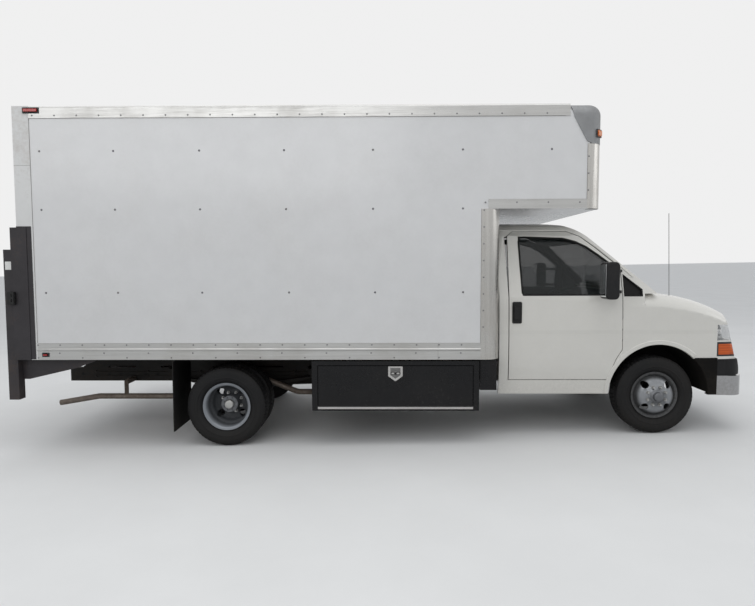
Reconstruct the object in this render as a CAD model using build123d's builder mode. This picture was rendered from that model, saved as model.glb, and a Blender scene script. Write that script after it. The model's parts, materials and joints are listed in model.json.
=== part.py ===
"""Box truck: a cutaway van's cab, a freight body with a nose over the cab, and a rail liftgate.

Drawn level, in millimetres: X runs forward from the front axle, Y to the left, and Z up
from the ground under the front wheels.  The empty truck stands nose down, so each piece
is turned by the rake as it is written, about the ground line under the front axle.
"""
import os
from math import cos, radians, sin, tan

from build123d import *

os.makedirs("parts", exist_ok=True)

# Stance and wheels
rake = 0.95
wheelbase = 4039
tyre_radius = 370
tyre_width = 222
rim_radius = 203
rim_width = 166
front_track_half = 865
rear_outer_half = 1052
rear_inner_half = 794
disc_offset = 129
rear_axle_x = -wheelbase
front_hub_z = tyre_radius
rear_hub_z = tyre_radius - wheelbase * tan(radians(rake))

# Freight body
body_half = 1216
rail_skin = 6
wall = 30
body_foot = 756
rail_height = 150
deck_top = 890
deck_thickness = 30
deck_foot = deck_top - deck_thickness
body_top = 3030
top_rail_height = 107
rear_face_x = -5884
rear_post_x = -5734
front_wall_x = -1530
front_wall_thickness = 40
nose_front_x = -640
nose_foot = 2112
nose_rail_height = 83
corner_radius = 112
top_radius = 130
cross_spacing = 406.4
bow_spacing = 450
roof_top = body_top - rail_skin
roof_foot = roof_top - wall

# Chassis
rail_half = 430
rail_foot = 405
rail_top = 545
rail_flange = 60
rail_plate = 7
sill_foot = 563
cross_foot = 760

# Cab
cab_back_x = -1490
cab_half = 1006
rocker_foot = 391
belt_z = 1312
roof_z = 2040
cab_wall = 55
fender_wall = 30
door_rear_x = -1397
door_front_x = -340
door_foot = 530
door_gap = 6
door_rear_gap = 8
door_swing_gap = 24
door_top_z = 1880
firewall_x = -130
cab_floor_z = 600
cab_floor_foot = 560
arch_x = 12
arch_z = 398
arch_radius = 462
bumper_pad_x = 870
bumper_foot = 378
bumper_top = 562
bumper_front_x = 905
cover_top = 722

# Liftgate
column_rear_x = -6014
column_front_x = -5920
column_top = 1760
column_foot = 387
column_inner = 1130
column_plate = 8
lift_hinge_x = -5995
lift_hinge_z = 835
platform_reach = 830
platform_depth = 55

# Toolbox
toolbox_rear_x = -3234
toolbox_length = 1524
toolbox_top = 742
toolbox_side = 457
toolbox_half = 1219


def on_ground_x(x, z):
    """Where a level point comes to lie along the row once the truck stands on its wheels."""
    return x * cos(radians(rake)) + z * sin(radians(rake))


row_middle = (on_ground_x(bumper_front_x, bumper_top) + on_ground_x(column_rear_x, column_foot)) / 2
tyre_lift = tyre_radius * (1 - cos(radians(rake)))
stance = Location((-row_middle, 0, tyre_lift)) * Location((0, 0, 0), (0, rake, 0))


# Chassis frame: two channels, cross pieces, the front cradle and the bumper's brackets.
cross_places = [-5780, -5200, -4560, -3560, -2400, -1300, 560]
with BuildPart() as frame:
    for side in (-1, 1):
        with BuildSketch(Plane.YZ.offset(-5870)):
            with BuildLine():
                Polyline(
                    (side * rail_half, rail_foot),
                    (side * rail_half, rail_top),
                    (side * (rail_half - rail_flange), rail_top),
                    (side * (rail_half - rail_flange), rail_top - rail_plate),
                    (side * (rail_half - rail_plate), rail_top - rail_plate),
                    (side * (rail_half - rail_plate), rail_foot + rail_plate),
                    (side * (rail_half - rail_flange), rail_foot + rail_plate),
                    (side * (rail_half - rail_flange), rail_foot),
                    close=True,
                )
            make_face()
        extrude(amount=6490)
    for x in cross_places:
        with Locations((x, 0, (rail_foot + rail_top) / 2)):
            Box(70, 2 * (rail_half - rail_plate), 90)
    with Locations((0, 0, 355)):
        Box(240, 760, 50)
    for side in (-1, 1):
        with Locations((0, side * 395, 392)):
            Box(240, 50, 26)
        with Locations((bumper_pad_x - 150, side * 400, 470)):
            Box(300, 44, 70)
        for x in (-1300, -400):
            with Locations((x, side * 397, (rail_top + cab_floor_foot) / 2)):
                Box(80, 60, cab_floor_foot - rail_top)
frame.part.label = "frame"
export_step(frame.part.moved(stance), "parts/frame.step")

# Body sills: a deep channel above each chassis rail, on short spacers.
with BuildPart() as body_sills:
    for side in (-1, 1):
        with BuildSketch(Plane.YZ.offset(rear_post_x + 20)):
            with BuildLine():
                Polyline(
                    (side * rail_half, sill_foot),
                    (side * rail_half, cross_foot),
                    (side * (rail_half - 50), cross_foot),
                    (side * (rail_half - 50), body_foot - 2),
                    (side * (rail_half - 6), body_foot - 2),
                    (side * (rail_half - 6), sill_foot + 6),
                    (side * (rail_half - 50), sill_foot + 6),
                    (side * (rail_half - 50), sill_foot),
                    close=True,
                )
            make_face()
        extrude(amount=front_wall_x - rear_post_x - 60)
        for x in (-5600, -5050, -4500, -3500, -2700, -1800):
            with Locations((x, side * (rail_half - 25), (rail_top + sill_foot) / 2)):
                Box(260, 50, sill_foot - rail_top)
body_sills.part.label = "body_sills"
export_step(body_sills.part.moved(stance), "parts/body_sills.step")

# Body floor: the deck with its cross channels underneath.
deck_front_x = front_wall_x - front_wall_thickness
deck_half = body_half - wall
cross_flange = 40
cross_plate = 6
cross_count = 10
first_cross_x = deck_front_x - 80
with BuildPart() as body_floor:
    with Locations(((rear_post_x + deck_front_x) / 2, 0, (deck_foot + deck_top) / 2)):
        Box(deck_front_x - rear_post_x, 2 * deck_half, deck_thickness)
    for step in range(cross_count):
        x = first_cross_x - step * cross_spacing
        with BuildSketch(Plane.XZ.offset(-body_half)):
            with Locations((x, (cross_foot + deck_foot) / 2)):
                Rectangle(cross_plate, deck_foot - cross_foot)
            for z in (cross_foot + cross_plate / 2, deck_foot - cross_plate / 2):
                with Locations((x - cross_flange / 2, z)):
                    Rectangle(cross_flange, cross_plate)
        extrude(amount=2 * body_half)
body_floor.part.label = "body_floor"
export_step(body_floor.part.moved(stance), "parts/body_floor.step")

# Rounding of the nose's upper corners, which the caps follow.
cap_rear_x = -930
cap_reach = 250
cap_foot = body_top - 350
cap_skin = 8
nose_corner_x = nose_front_x - corner_radius
slant = sin(radians(45))


def rounded_corner(skin):
    """The nose's upper left corner with its outer edges rounded, grown outwards by a skin."""
    with BuildPart() as corner:
        with BuildSketch(Plane.XY.offset(cap_foot)):
            with BuildLine():
                Line((cap_rear_x, body_half - 300), (cap_rear_x, body_half + skin))
                Line((cap_rear_x, body_half + skin), (nose_corner_x, body_half + skin))
                ThreePointArc(
                    (nose_corner_x, body_half + skin),
                    (
                        nose_corner_x + slant * (corner_radius + skin),
                        body_half - corner_radius + slant * (corner_radius + skin),
                    ),
                    (nose_front_x + skin, body_half - corner_radius),
                )
                Line((nose_front_x + skin, body_half - corner_radius), (nose_front_x + skin, body_half - 300))
                Line((nose_front_x + skin, body_half - 300), (cap_rear_x, body_half - 300))
            make_face()
        extrude(amount=roof_top + skin - cap_foot)
        top = corner.faces().sort_by(Axis.Z)[-1]
        crown = top.edges().filter_by(lambda edge: edge.center().X > nose_corner_x)
        fillet(crown, 100)
    return corner.part


with BuildPart() as corner_waste:
    with Locations(((cap_rear_x + nose_front_x) / 2, body_half - 100, (cap_foot + roof_top) / 2)):
        Box(nose_front_x - cap_rear_x, 400, roof_top - cap_foot)
    add(rounded_corner(0), mode=Mode.SUBTRACT)

# Side walls: flat panels whose front end steps out over the cab.
with BuildPart() as side_walls:
    with BuildSketch(Plane.XZ.offset(-body_half)):
        with BuildLine():
            Polyline(
                (rear_post_x, deck_foot),
                (front_wall_x - corner_radius, deck_foot),
                (front_wall_x - corner_radius, nose_foot),
                (nose_front_x - corner_radius, nose_foot),
                (nose_front_x - corner_radius, roof_foot),
                (rear_post_x, roof_foot),
                close=True,
            )
        make_face()
    extrude(amount=wall)
    add(corner_waste.part, mode=Mode.SUBTRACT)
    mirror(about=Plane.XZ)
side_walls.part.label = "side_walls"
export_step(side_walls.part.moved(stance), "parts/side_walls.step")

# Front wall behind the cab.
with BuildPart() as front_wall:
    with Locations((front_wall_x - front_wall_thickness / 2, 0, (body_foot + nose_foot) / 2)):
        Box(front_wall_thickness, 2 * (body_half - corner_radius), nose_foot - body_foot)
front_wall.part.label = "front_wall"
export_step(front_wall.part.moved(stance), "parts/front_wall.step")

# Nose over the cab: its floor and its front wall, one folded panel.
with BuildPart() as nose_shell:
    with BuildSketch(Plane.XZ.offset(-(body_half - corner_radius))):
        with BuildLine():
            Polyline(
                (front_wall_x - front_wall_thickness, nose_foot),
                (nose_front_x, nose_foot),
                (nose_front_x, body_top - top_radius),
                (nose_front_x - front_wall_thickness, body_top - top_radius),
                (nose_front_x - front_wall_thickness, nose_foot + front_wall_thickness),
                (front_wall_x - front_wall_thickness, nose_foot + front_wall_thickness),
                close=True,
            )
        make_face()
    extrude(amount=2 * (body_half - corner_radius))
    for side in (-1, 1):
        with BuildSketch(Plane.XY.offset(nose_foot)):
            with BuildLine():
                Polyline(
                    (front_wall_x - corner_radius, side * (body_half - corner_radius)),
                    (front_wall_x - corner_radius, side * (body_half - wall)),
                    (nose_corner_x - 4, side * (body_half - wall)),
                    (nose_corner_x - 4, side * (body_half - corner_radius)),
                    close=True,
                )
            make_face()
        extrude(amount=front_wall_thickness)
nose_shell.part.label = "nose_shell"
export_step(nose_shell.part.moved(stance), "parts/nose_shell.step")

# Roof panel with its cross bows inside.
roof_front_x = nose_front_x - top_radius
with BuildPart() as roof:
    with Locations(((rear_post_x + roof_front_x) / 2, 0, (roof_top + roof_foot) / 2)):
        Box(roof_front_x - rear_post_x, 2 * body_half, wall)
    for step in range(11):
        with Locations((roof_front_x - 250 - step * bow_spacing, 0, roof_foot - 15)):
            Box(40, 2 * (body_half - wall), 30)
    add(corner_waste.part, mode=Mode.SUBTRACT)
    add(corner_waste.part.mirror(Plane.XZ), mode=Mode.SUBTRACT)
roof.part.label = "roof"
export_step(roof.part.moved(stance), "parts/roof.step")

# Long rails of the body: top rails, beaded bottom rails and the nose's lower rails.
post_flange = 60
nose_flange = 18
with BuildPart() as body_rails:
    for side in (-1, 1):
        with BuildSketch(Plane.YZ.offset(rear_post_x)):
            with BuildLine():
                Polyline(
                    (side * body_half, body_foot),
                    (side * body_half, body_foot + rail_height),
                    (side * (body_half + 6), body_foot + rail_height),
                    (side * (body_half + 6), body_foot + 104),
                    (side * (body_half + 12), body_foot + 98),
                    (side * (body_half + 12), body_foot + 86),
                    (side * (body_half + 6), body_foot + 80),
                    (side * (body_half + 6), body_foot),
                    close=True,
                )
            make_face()
        extrude(amount=front_wall_x - corner_radius - post_flange - rear_post_x)
        with BuildSketch(Plane.YZ.offset(rear_post_x)):
            with BuildLine():
                Polyline(
                    (side * body_half, body_top - top_rail_height),
                    (side * body_half, roof_top),
                    (side * (body_half - 70), roof_top),
                    (side * (body_half - 70), body_top),
                    (side * (body_half - 14), body_top),
                )
                ThreePointArc(
                    (side * (body_half - 14), body_top),
                    (side * (body_half + 0.14), body_top - 5.86),
                    (side * (body_half + rail_skin), body_top - 20),
                )
                Polyline(
                    (side * (body_half + rail_skin), body_top - 20),
                    (side * (body_half + rail_skin), body_top - top_rail_height),
                    (side * body_half, body_top - top_rail_height),
                )
            make_face()
        extrude(amount=cap_rear_x - rear_post_x)
        with BuildSketch(Plane.YZ.offset(front_wall_x - corner_radius)):
            with BuildLine():
                Polyline(
                    (side * body_half, nose_foot),
                    (side * body_half, nose_foot + nose_rail_height),
                    (side * (body_half + rail_skin), nose_foot + nose_rail_height),
                    (side * (body_half + rail_skin), nose_foot),
                    close=True,
                )
            make_face()
        extrude(amount=nose_corner_x - nose_flange - front_wall_x + corner_radius)
body_rails.part.label = "body_rails"
export_step(body_rails.part.moved(stance), "parts/body_rails.step")

# Rounded corner posts: one pair beside the cab, one pair at the nose, and the nose's top edge.
edge_z = body_top - top_radius
edge_radius = top_radius - rail_skin
edge_flange = 40
post_table = (
    # front face x, foot z, top z, rear flange
    (front_wall_x, body_foot, nose_foot, post_flange),
    (nose_front_x, nose_foot, body_top - 350, nose_flange),
)
with BuildPart() as corner_posts:
    for front_x, foot, top, flange in post_table:
        for side in (-1, 1):
            outer = corner_radius + rail_skin
            skin_x = front_x + rail_skin
            centre_x = front_x - corner_radius
            centre_y = body_half - corner_radius
            with BuildSketch(Plane.XY.offset(foot)):
                with BuildLine():
                    Line((centre_x - flange, side * body_half), (centre_x, side * body_half))
                    ThreePointArc(
                        (centre_x, side * body_half),
                        (centre_x + slant * corner_radius, side * (centre_y + slant * corner_radius)),
                        (front_x, side * centre_y),
                    )
                    Line((front_x, side * centre_y), (front_x, side * (centre_y - 40)))
                    Line((front_x, side * (centre_y - 40)), (skin_x, side * (centre_y - 40)))
                    Line((skin_x, side * (centre_y - 40)), (skin_x, side * centre_y))
                    ThreePointArc(
                        (skin_x, side * centre_y),
                        (centre_x + slant * outer, side * (centre_y + slant * outer)),
                        (centre_x, side * (body_half + rail_skin)),
                    )
                    Polyline(
                        (centre_x, side * (body_half + rail_skin)),
                        (centre_x - flange, side * (body_half + rail_skin)),
                        (centre_x - flange, side * body_half),
                    )
                make_face()
            extrude(amount=top - foot)
    with BuildSketch(Plane.XZ.offset(-(body_half - cap_reach))):
        with BuildLine():
            Line((roof_front_x - edge_flange, roof_top), (roof_front_x, roof_top))
            ThreePointArc(
                (roof_front_x, roof_top),
                (roof_front_x + slant * edge_radius, edge_z + slant * edge_radius),
                (nose_front_x - rail_skin, edge_z),
            )
            Polyline(
                (nose_front_x - rail_skin, edge_z),
                (nose_front_x, edge_z),
                (nose_front_x, edge_z - edge_flange),
                (nose_front_x + rail_skin, edge_z - edge_flange),
                (nose_front_x + rail_skin, edge_z),
            )
            ThreePointArc(
                (nose_front_x + rail_skin, edge_z),
                (roof_front_x + slant * top_radius + 3, edge_z + slant * top_radius + 3),
                (roof_front_x, body_top),
            )
            Polyline(
                (roof_front_x, body_top),
                (roof_front_x - edge_flange, body_top),
                (roof_front_x - edge_flange, roof_top),
            )
        make_face()
    extrude(amount=2 * (body_half - cap_reach))
corner_posts.part.label = "corner_posts"
export_step(corner_posts.part.moved(stance), "parts/corner_posts.step")

# Cast corner caps: a shell over the nose's rounded upper corners.
with BuildPart() as corner_caps:
    add(rounded_corner(cap_skin))
    add(rounded_corner(0), mode=Mode.SUBTRACT)
    with BuildSketch(Plane.XZ.offset(-body_half - 50)):
        with BuildLine():
            Polyline(
                (cap_rear_x, body_top + 20),
                (cap_rear_x + 39, body_top - 121),
                (nose_front_x - 141, body_top - 325),
                (nose_front_x - 95, cap_foot),
                (nose_front_x + 40, cap_foot),
                (nose_front_x + 40, body_top + 20),
                close=True,
            )
        make_face()
    extrude(amount=400, mode=Mode.INTERSECT)
    with BuildSketch(Plane.YZ.offset(cap_rear_x - 10)):
        with BuildLine():
            Polyline(
                (body_half - cap_reach, body_top + 20),
                (body_half - cap_reach + 39, body_top - 121),
                (body_half - 141, body_top - 325),
                (body_half - 95, cap_foot),
                (body_half + 40, cap_foot),
                (body_half + 40, body_top + 20),
                close=True,
            )
        make_face()
    extrude(amount=400, mode=Mode.INTERSECT)
    mirror(about=Plane.XZ)
corner_caps.part.label = "corner_caps"
export_step(corner_caps.part.moved(stance), "parts/corner_caps.step")


# Rear frame: white steel posts, header and sill, round the rear door.
rear_post_width = 112
lamp_depth = 18
header_foot = 2850
with BuildPart() as rear_frame:
    with BuildSketch(Plane.YZ.offset(rear_face_x)):
        with Locations((0, (body_foot + body_top) / 2)):
            Rectangle(2 * (body_half + 3), body_top - body_foot)
        with Locations((0, (deck_top + header_foot) / 2)):
            Rectangle(2 * (body_half - rear_post_width), header_foot - deck_top, mode=Mode.SUBTRACT)
    extrude(amount=rear_post_x - rear_face_x)
    with BuildSketch(Plane.XZ.offset(-(body_half - rear_post_width))):
        with BuildLine():
            Polyline(
                (rear_post_x, header_foot),
                (rear_face_x + 25, header_foot),
                (rear_face_x + 25, header_foot + 120),
                (rear_post_x, header_foot + 120),
                close=True,
            )
        make_face()
    extrude(amount=2 * (body_half - rear_post_width), mode=Mode.SUBTRACT)
    with BuildSketch(Plane.YZ.offset(rear_face_x)):
        with Locations((-960, body_foot + 95), (960, body_foot + 95)):
            RectangleRounded(150, 54, 26)
    extrude(amount=lamp_depth, mode=Mode.SUBTRACT)
rear_frame.part.label = "rear_frame"
export_step(rear_frame.part.moved(stance), "parts/rear_frame.step")

# Rear door: a roll-up curtain of hinged sections between the posts.
section_count = 7
section_height = (header_foot - deck_top) / section_count
with BuildPart() as rear_door:
    for step in range(section_count):
        with Locations((rear_face_x + 60, 0, deck_top + (step + 0.5) * section_height)):
            Box(26, 2 * (body_half - rear_post_width), section_height - 3)
    with Locations((rear_face_x + 44, 0, deck_top + 60)):
        Box(6, 160, 60)
rear_door.part.label = "rear_door"
export_step(rear_door.part.moved(stance), "parts/rear_door.step")

# Lamps of the body: nose corners, top rails, bottom rails, and the rear header and sill.
with BuildPart() as body_lamps:
    for side in (-1, 1):
        corner_plane = Plane(
            origin=(nose_corner_x, side * (body_half - corner_radius), body_top - 258),
            x_dir=(1, -side, 0),
            z_dir=(1, side, 0),
        )
        with BuildSketch(corner_plane.offset(corner_radius + cap_skin)):
            RectangleRounded(90, 74, 20)
        extrude(amount=lamp_depth)
        for x, z, length, height in ((-5710, 2992, 144, 44), (-5660, 803, 64, 36)):
            with Locations((x, side * (body_half + rail_skin + lamp_depth / 2), z)):
                Box(length, lamp_depth, height)
        for y, z in ((140, 2950), (1150, 2950)):
            with Locations((rear_face_x - lamp_depth / 2, side * y, z)):
                Box(lamp_depth, 90, 40)
        with BuildSketch(Plane.YZ.offset(rear_face_x)):
            with Locations((side * 960, body_foot + 95)):
                RectangleRounded(150, 54, 26)
        extrude(amount=lamp_depth)
body_lamps.part.label = "body_lamps"
export_step(body_lamps.part.moved(stance), "parts/body_lamps.step")

# Liftgate columns: an open channel behind each rear post, its side plate and its brace.
plate_face = body_half + 3
side_plate_rear_x = -5940
side_plate_front_x = -5793
side_plate_top = 1958
with BuildPart() as lift_columns:
    for side in (-1, 1):
        with BuildSketch(Plane.XY.offset(column_foot)):
            with BuildLine():
                Polyline(
                    (column_front_x, side * column_inner),
                    (column_front_x, side * plate_face),
                    (column_rear_x, side * plate_face),
                    (column_rear_x, side * column_inner),
                    (column_rear_x + column_plate, side * column_inner),
                    (column_rear_x + column_plate, side * (plate_face - column_plate)),
                    (column_front_x - column_plate, side * (plate_face - column_plate)),
                    (column_front_x - column_plate, side * column_inner),
                    close=True,
                )
            make_face()
        extrude(amount=column_top - column_foot)
        with BuildSketch(Plane.XZ.offset(-side * plate_face)):
            with Locations(((side_plate_rear_x + side_plate_front_x) / 2, (body_foot + side_plate_top) / 2)):
                Rectangle(side_plate_front_x - side_plate_rear_x, side_plate_top - body_foot)
        extrude(amount=-side * 10)
        for z in (930, 1300, 1680):
            with Locations(((column_front_x + rear_face_x) / 2, side * (plate_face - 40), z)):
                Box(rear_face_x - column_front_x, 80, 120)
        with BuildSketch(Plane.XZ.offset(-side * (plate_face - 70))):
            with BuildLine():
                Polyline(
                    (column_front_x, body_foot),
                    (column_front_x, 566),
                    (-5860, 566),
                    (-5420, 668),
                    (-5250, body_foot - 26),
                    (-5250, body_foot),
                    close=True,
                )
            make_face()
        extrude(amount=side * 10)
lift_columns.part.label = "lift_columns"
export_step(lift_columns.part.moved(stance), "parts/lift_columns.step")

# Liftgate carriage: two runners in the columns, the bar across and the hinge ears.
runner_front_x = column_front_x - column_plate - 6
runner_rear_x = column_rear_x + column_plate + 6
runner_middle = (runner_front_x + runner_rear_x) / 2
ear_inner = 1076
lift_bar_x = -5912
pin_radius = 12
with BuildPart() as lift_carriage:
    for side in (-1, 1):
        with Locations((runner_middle, side * (plate_face - column_plate - 8 - 43), 1220)):
            Box(runner_front_x - runner_rear_x, 86, 860)
        with Locations((runner_middle + 14, side * (ear_inner + 1122) / 2, 828)):
            Box(runner_front_x - runner_rear_x + 40, 1122 - ear_inner, 86)
    with Locations((lift_bar_x, 0, 828)):
        Box(28, 2 * 1122, 86)
    for side in (-1, 1):
        with Locations((lift_hinge_x + 6, side * (ear_inner - 20), lift_hinge_z)):
            Cylinder(pin_radius, 60, rotation=(90, 0, 0))
lift_carriage.part.label = "lift_carriage"
export_step(lift_carriage.part.moved(stance), "parts/lift_carriage.step")

# Liftgate platform, stowed upright: a deck with a rim, ribs and hinge bosses.
platform_half = ear_inner - 6
deck_front = lift_hinge_x + platform_depth + 6
with BuildPart() as lift_platform:
    with Locations((deck_front - 4, 0, lift_hinge_z + 18 + platform_reach / 2)):
        Box(8, 2 * platform_half, platform_reach)
    for y in (-platform_half + 4, -640, -215, 215, 640, platform_half - 4):
        with BuildSketch(Plane.XZ.offset(-y - 4)):
            with BuildLine():
                Polyline(
                    (deck_front, lift_hinge_z + 18),
                    (deck_front - platform_depth, lift_hinge_z + 18),
                    (deck_front - platform_depth, lift_hinge_z + platform_reach - 220),
                    (deck_front - 14, lift_hinge_z + platform_reach + 18),
                    (deck_front, lift_hinge_z + platform_reach + 18),
                    close=True,
                )
            make_face()
        extrude(amount=8)
    with Locations((deck_front - platform_depth / 2, 0, lift_hinge_z + 18 + 25)):
        Box(platform_depth, 2 * platform_half, 50)
    with Locations((deck_front - 26, 0, lift_hinge_z + 430)):
        Box(36, 2 * platform_half, 40)
    for side in (-1, 1):
        with Locations((lift_hinge_x + 6, side * (platform_half - 30), lift_hinge_z)):
            Cylinder(26, 60, rotation=(90, 0, 0))
        with Locations((lift_hinge_x + 12, side * (platform_half - 30), lift_hinge_z + 16)):
            Box(40, 60, 20)
        with Locations((lift_hinge_x + 6, side * (platform_half - 20), lift_hinge_z)):
            Cylinder(pin_radius + 0.5, 64, rotation=(90, 0, 0), mode=Mode.SUBTRACT)
lift_platform.part.label = "lift_platform"
export_step(lift_platform.part.moved(stance), "parts/lift_platform.step")

# Toolbox under the body, open at its side, with a filler box ahead of it, and its drop-down door.
toolbox_foot = toolbox_top - toolbox_side
toolbox_middle = toolbox_rear_x + toolbox_length / 2
toolbox_skin = 5
toolbox_door_length = 1408
toolbox_door_foot = 325
toolbox_door_top = 697
toolbox_barrel = 5
with BuildPart() as toolbox:
    with BuildSketch(Plane.YZ.offset(toolbox_rear_x)):
        with Locations((-toolbox_half + toolbox_side / 2, (toolbox_foot + toolbox_top) / 2)):
            Rectangle(toolbox_side, toolbox_side)
    extrude(amount=toolbox_length)
    with Locations((toolbox_middle, -toolbox_half + toolbox_side / 2, (toolbox_foot + toolbox_top) / 2)):
        Box(
            toolbox_length - 2 * toolbox_skin,
            toolbox_side - 2 * toolbox_skin,
            toolbox_side - 2 * toolbox_skin,
            mode=Mode.SUBTRACT,
        )
    with Locations((toolbox_middle, -toolbox_half, (toolbox_door_foot + toolbox_door_top) / 2)):
        Box(toolbox_door_length + 12, 60, toolbox_door_top - toolbox_door_foot + 12, mode=Mode.SUBTRACT)
    for place in (2, 3):
        x = first_cross_x - place * cross_spacing - cross_flange / 2
        with Locations((x, -toolbox_half + 220, (toolbox_top + cross_foot) / 2)):
            Box(cross_flange, 300, cross_foot - toolbox_top)
    with Locations((-1622, -1090, 607)):
        Box(150, 200, 274)
    with Locations((first_cross_x - cross_flange / 2, -1090, (744 + cross_foot) / 2)):
        Box(36, 160, cross_foot - 744)
toolbox.part.label = "toolbox"
export_step(toolbox.part.moved(stance), "parts/toolbox.step")

with BuildPart() as toolbox_door:
    with Locations((toolbox_middle, -toolbox_half + 10, (toolbox_door_foot + toolbox_door_top) / 2)):
        Box(toolbox_door_length, 20, toolbox_door_top - toolbox_door_foot)
    with BuildSketch(Plane.XZ.offset(toolbox_half)):
        with BuildLine():
            Polyline(
                (toolbox_middle - 65, toolbox_door_top - 4),
                (toolbox_middle + 65, toolbox_door_top - 4),
                (toolbox_middle + 65, toolbox_door_top - 90),
                (toolbox_middle, toolbox_door_top - 138),
                (toolbox_middle - 65, toolbox_door_top - 90),
                close=True,
            )
        make_face()
    extrude(amount=9)
    with Locations((toolbox_middle, -toolbox_half - 20, toolbox_door_top - 62)):
        Box(84, 14, 20)
        Box(22, 30, 20)
    with Locations((toolbox_middle, -toolbox_half, toolbox_door_foot)):
        Cylinder(toolbox_barrel, toolbox_door_length, rotation=(0, 90, 0))
toolbox_door.part.label = "toolbox_door"
export_step(toolbox_door.part.moved(stance), "parts/toolbox_door.step")

# Mud flaps behind the rear wheels, each under a bar on the body's cross channel.
flap_place = 7
flap_x = first_cross_x - flap_place * cross_spacing - cross_flange / 2
with BuildPart() as mud_flaps:
    for side in (-1, 1):
        with Locations((flap_x, side * 930, 745)):
            Box(30, 500, 30)
        with Locations((flap_x - 4, side * 935, (730 + 75) / 2)):
            Box(8, 490, 730 - 75)
mud_flaps.part.label = "mud_flaps"
export_step(mud_flaps.part.moved(stance), "parts/mud_flaps.step")

# Cab: one form behind the firewall and one for the nose, each drawn at any inset.
def cab_form(inset):
    """The cab from its back wall to the windshield, shrunk by an inset on every side."""
    with BuildPart() as form:
        with BuildSketch(Plane.XZ.offset(-1100)):
            with BuildLine():
                Polyline(
                    (firewall_x - inset, rocker_foot + inset),
                    (cab_back_x + inset, rocker_foot + inset),
                    (cab_back_x + inset, roof_z - inset),
                    (-1050, roof_z - 10 - inset),
                )
                ThreePointArc(
                    (-1050, roof_z - 10 - inset),
                    (-800 - 0.4 * inset, 1977 - inset),
                    (-600 - 0.66 * inset, 1859 - 0.75 * inset),
                )
                Polyline(
                    (-600 - 0.66 * inset, 1859 - 0.75 * inset),
                    (-9 - 1.3 * inset, 1340),
                    (firewall_x - inset, 1340),
                    (firewall_x - inset, rocker_foot + inset),
                )
            make_face()
        extrude(amount=2200)
        with BuildSketch(Plane.YZ.offset(-1600)):
            with BuildLine():
                Line((0, rocker_foot - 10), (cab_half - 26 - inset, rocker_foot - 10))
                Line((cab_half - 26 - inset, rocker_foot - 10), (cab_half - inset, 640))
                ThreePointArc(
                    (cab_half - inset, 640),
                    (cab_half + 3 - inset, 980),
                    (cab_half - 16 - inset, belt_z),
                )
                Line((cab_half - 16 - inset, belt_z), (828 - inset, 1862))
                ThreePointArc(
                    (828 - inset, 1862),
                    (790 - 0.8 * inset, 1950 - 0.5 * inset),
                    (690 - 0.5 * inset, roof_z - 42 - inset),
                )
                ThreePointArc(
                    (690 - 0.5 * inset, roof_z - 42 - inset),
                    (350, roof_z - 8 - inset),
                    (0, roof_z - inset),
                )
                Line((0, roof_z - inset), (0, rocker_foot - 10))
            make_face()
            mirror(about=Plane.YZ)
        extrude(amount=1700, mode=Mode.INTERSECT)
    return form.part


nose_table = (
    # x, half width, side top, shoulder y, shoulder z, crown
    (-130, 1004, 1225, 800, 1332, 1354),
    (250, 1003, 1185, 795, 1296, 1322),
    (560, 996, 1100, 770, 1190, 1222),
    (900, 895, 902, 671, 978, 1021),
)
nose_x = 782
nose_z = 1040
face_tilt = -14.7
face_radius = 4000
face_centre_x = nose_x - face_radius / cos(radians(face_tilt))


def nose_form(inset):
    """The hood, fenders and front face ahead of the firewall, shrunk by an inset."""
    with BuildPart() as form:
        for x, half, side_top, shoulder_y, shoulder_z, crown in nose_table:
            side = half - inset
            top = shoulder_z - inset
            bend_y = side - 0.24 * (half - shoulder_y)
            bend_z = side_top + 0.68 * (shoulder_z - side_top) - inset
            with BuildSketch(Plane.YZ.offset(x)):
                with BuildLine():
                    Polyline((-side, side_top), (-side, rocker_foot), (side, rocker_foot), (side, side_top))
                    ThreePointArc((side, side_top), (bend_y, bend_z), (shoulder_y, top))
                    ThreePointArc((shoulder_y, top), (0, crown - inset), (-shoulder_y, top))
                    ThreePointArc((-shoulder_y, top), (-bend_y, bend_z), (-side, side_top))
                make_face()
        loft()
        with Locations(Location((face_centre_x - inset, 0, nose_z), (0, face_tilt, 0))):
            Cylinder(face_radius, 3000, mode=Mode.INTERSECT)
    return form.part


cab_outer = cab_form(0)
cab_inner = cab_form(cab_wall)
nose_outer = nose_form(0)
nose_inner = nose_form(fender_wall)


def door_region(gap):
    """The right door's outline cut through the cab's side, grown or shrunk by a gap."""
    with BuildPart() as region:
        with BuildSketch(Plane.XZ.offset(620)):
            with BuildLine():
                Polyline(
                    (door_front_x, 1582),
                    (-560, 1772),
                    (-700, 1880),
                    (-820, 1926),
                    (-1340, 1926),
                    (door_rear_x, door_top_z),
                    (door_rear_x, door_foot),
                    (-448, door_foot),
                )
                ThreePointArc((-448, door_foot), (-410, 690), (door_front_x, 812))
                Line((door_front_x, 812), (door_front_x, 1582))
            make_face()
            if gap:
                offset(amount=gap, kind=Kind.INTERSECTION)
        extrude(amount=500)
    return region.part


def window_region(inset):
    """The right door window's outline, cut through the door."""
    with BuildPart() as region:
        with BuildSketch(Plane.XZ.offset(620)):
            with BuildLine():
                Polyline(
                    (-400, 1322),
                    (-400, 1600),
                    (-459, 1646),
                    (-526, 1700),
                    (-640, 1784),
                    (-740, 1834),
                    (-860, 1868),
                    (-1290, 1884),
                    (-1272, 1322),
                    (-400, 1322),
                )
            make_face()
            if inset:
                offset(amount=-inset)
        extrude(amount=500)
    return region.part


def quarter_region():
    """The small fixed window ahead of the right door."""
    with BuildPart() as region:
        with BuildSketch(Plane.XZ.offset(620)):
            with BuildLine():
                Polyline((-318, 1316), (-318, 1520), (-150, 1374), (-150, 1316), close=True)
            make_face()
        extrude(amount=500)
    return region.part


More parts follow.
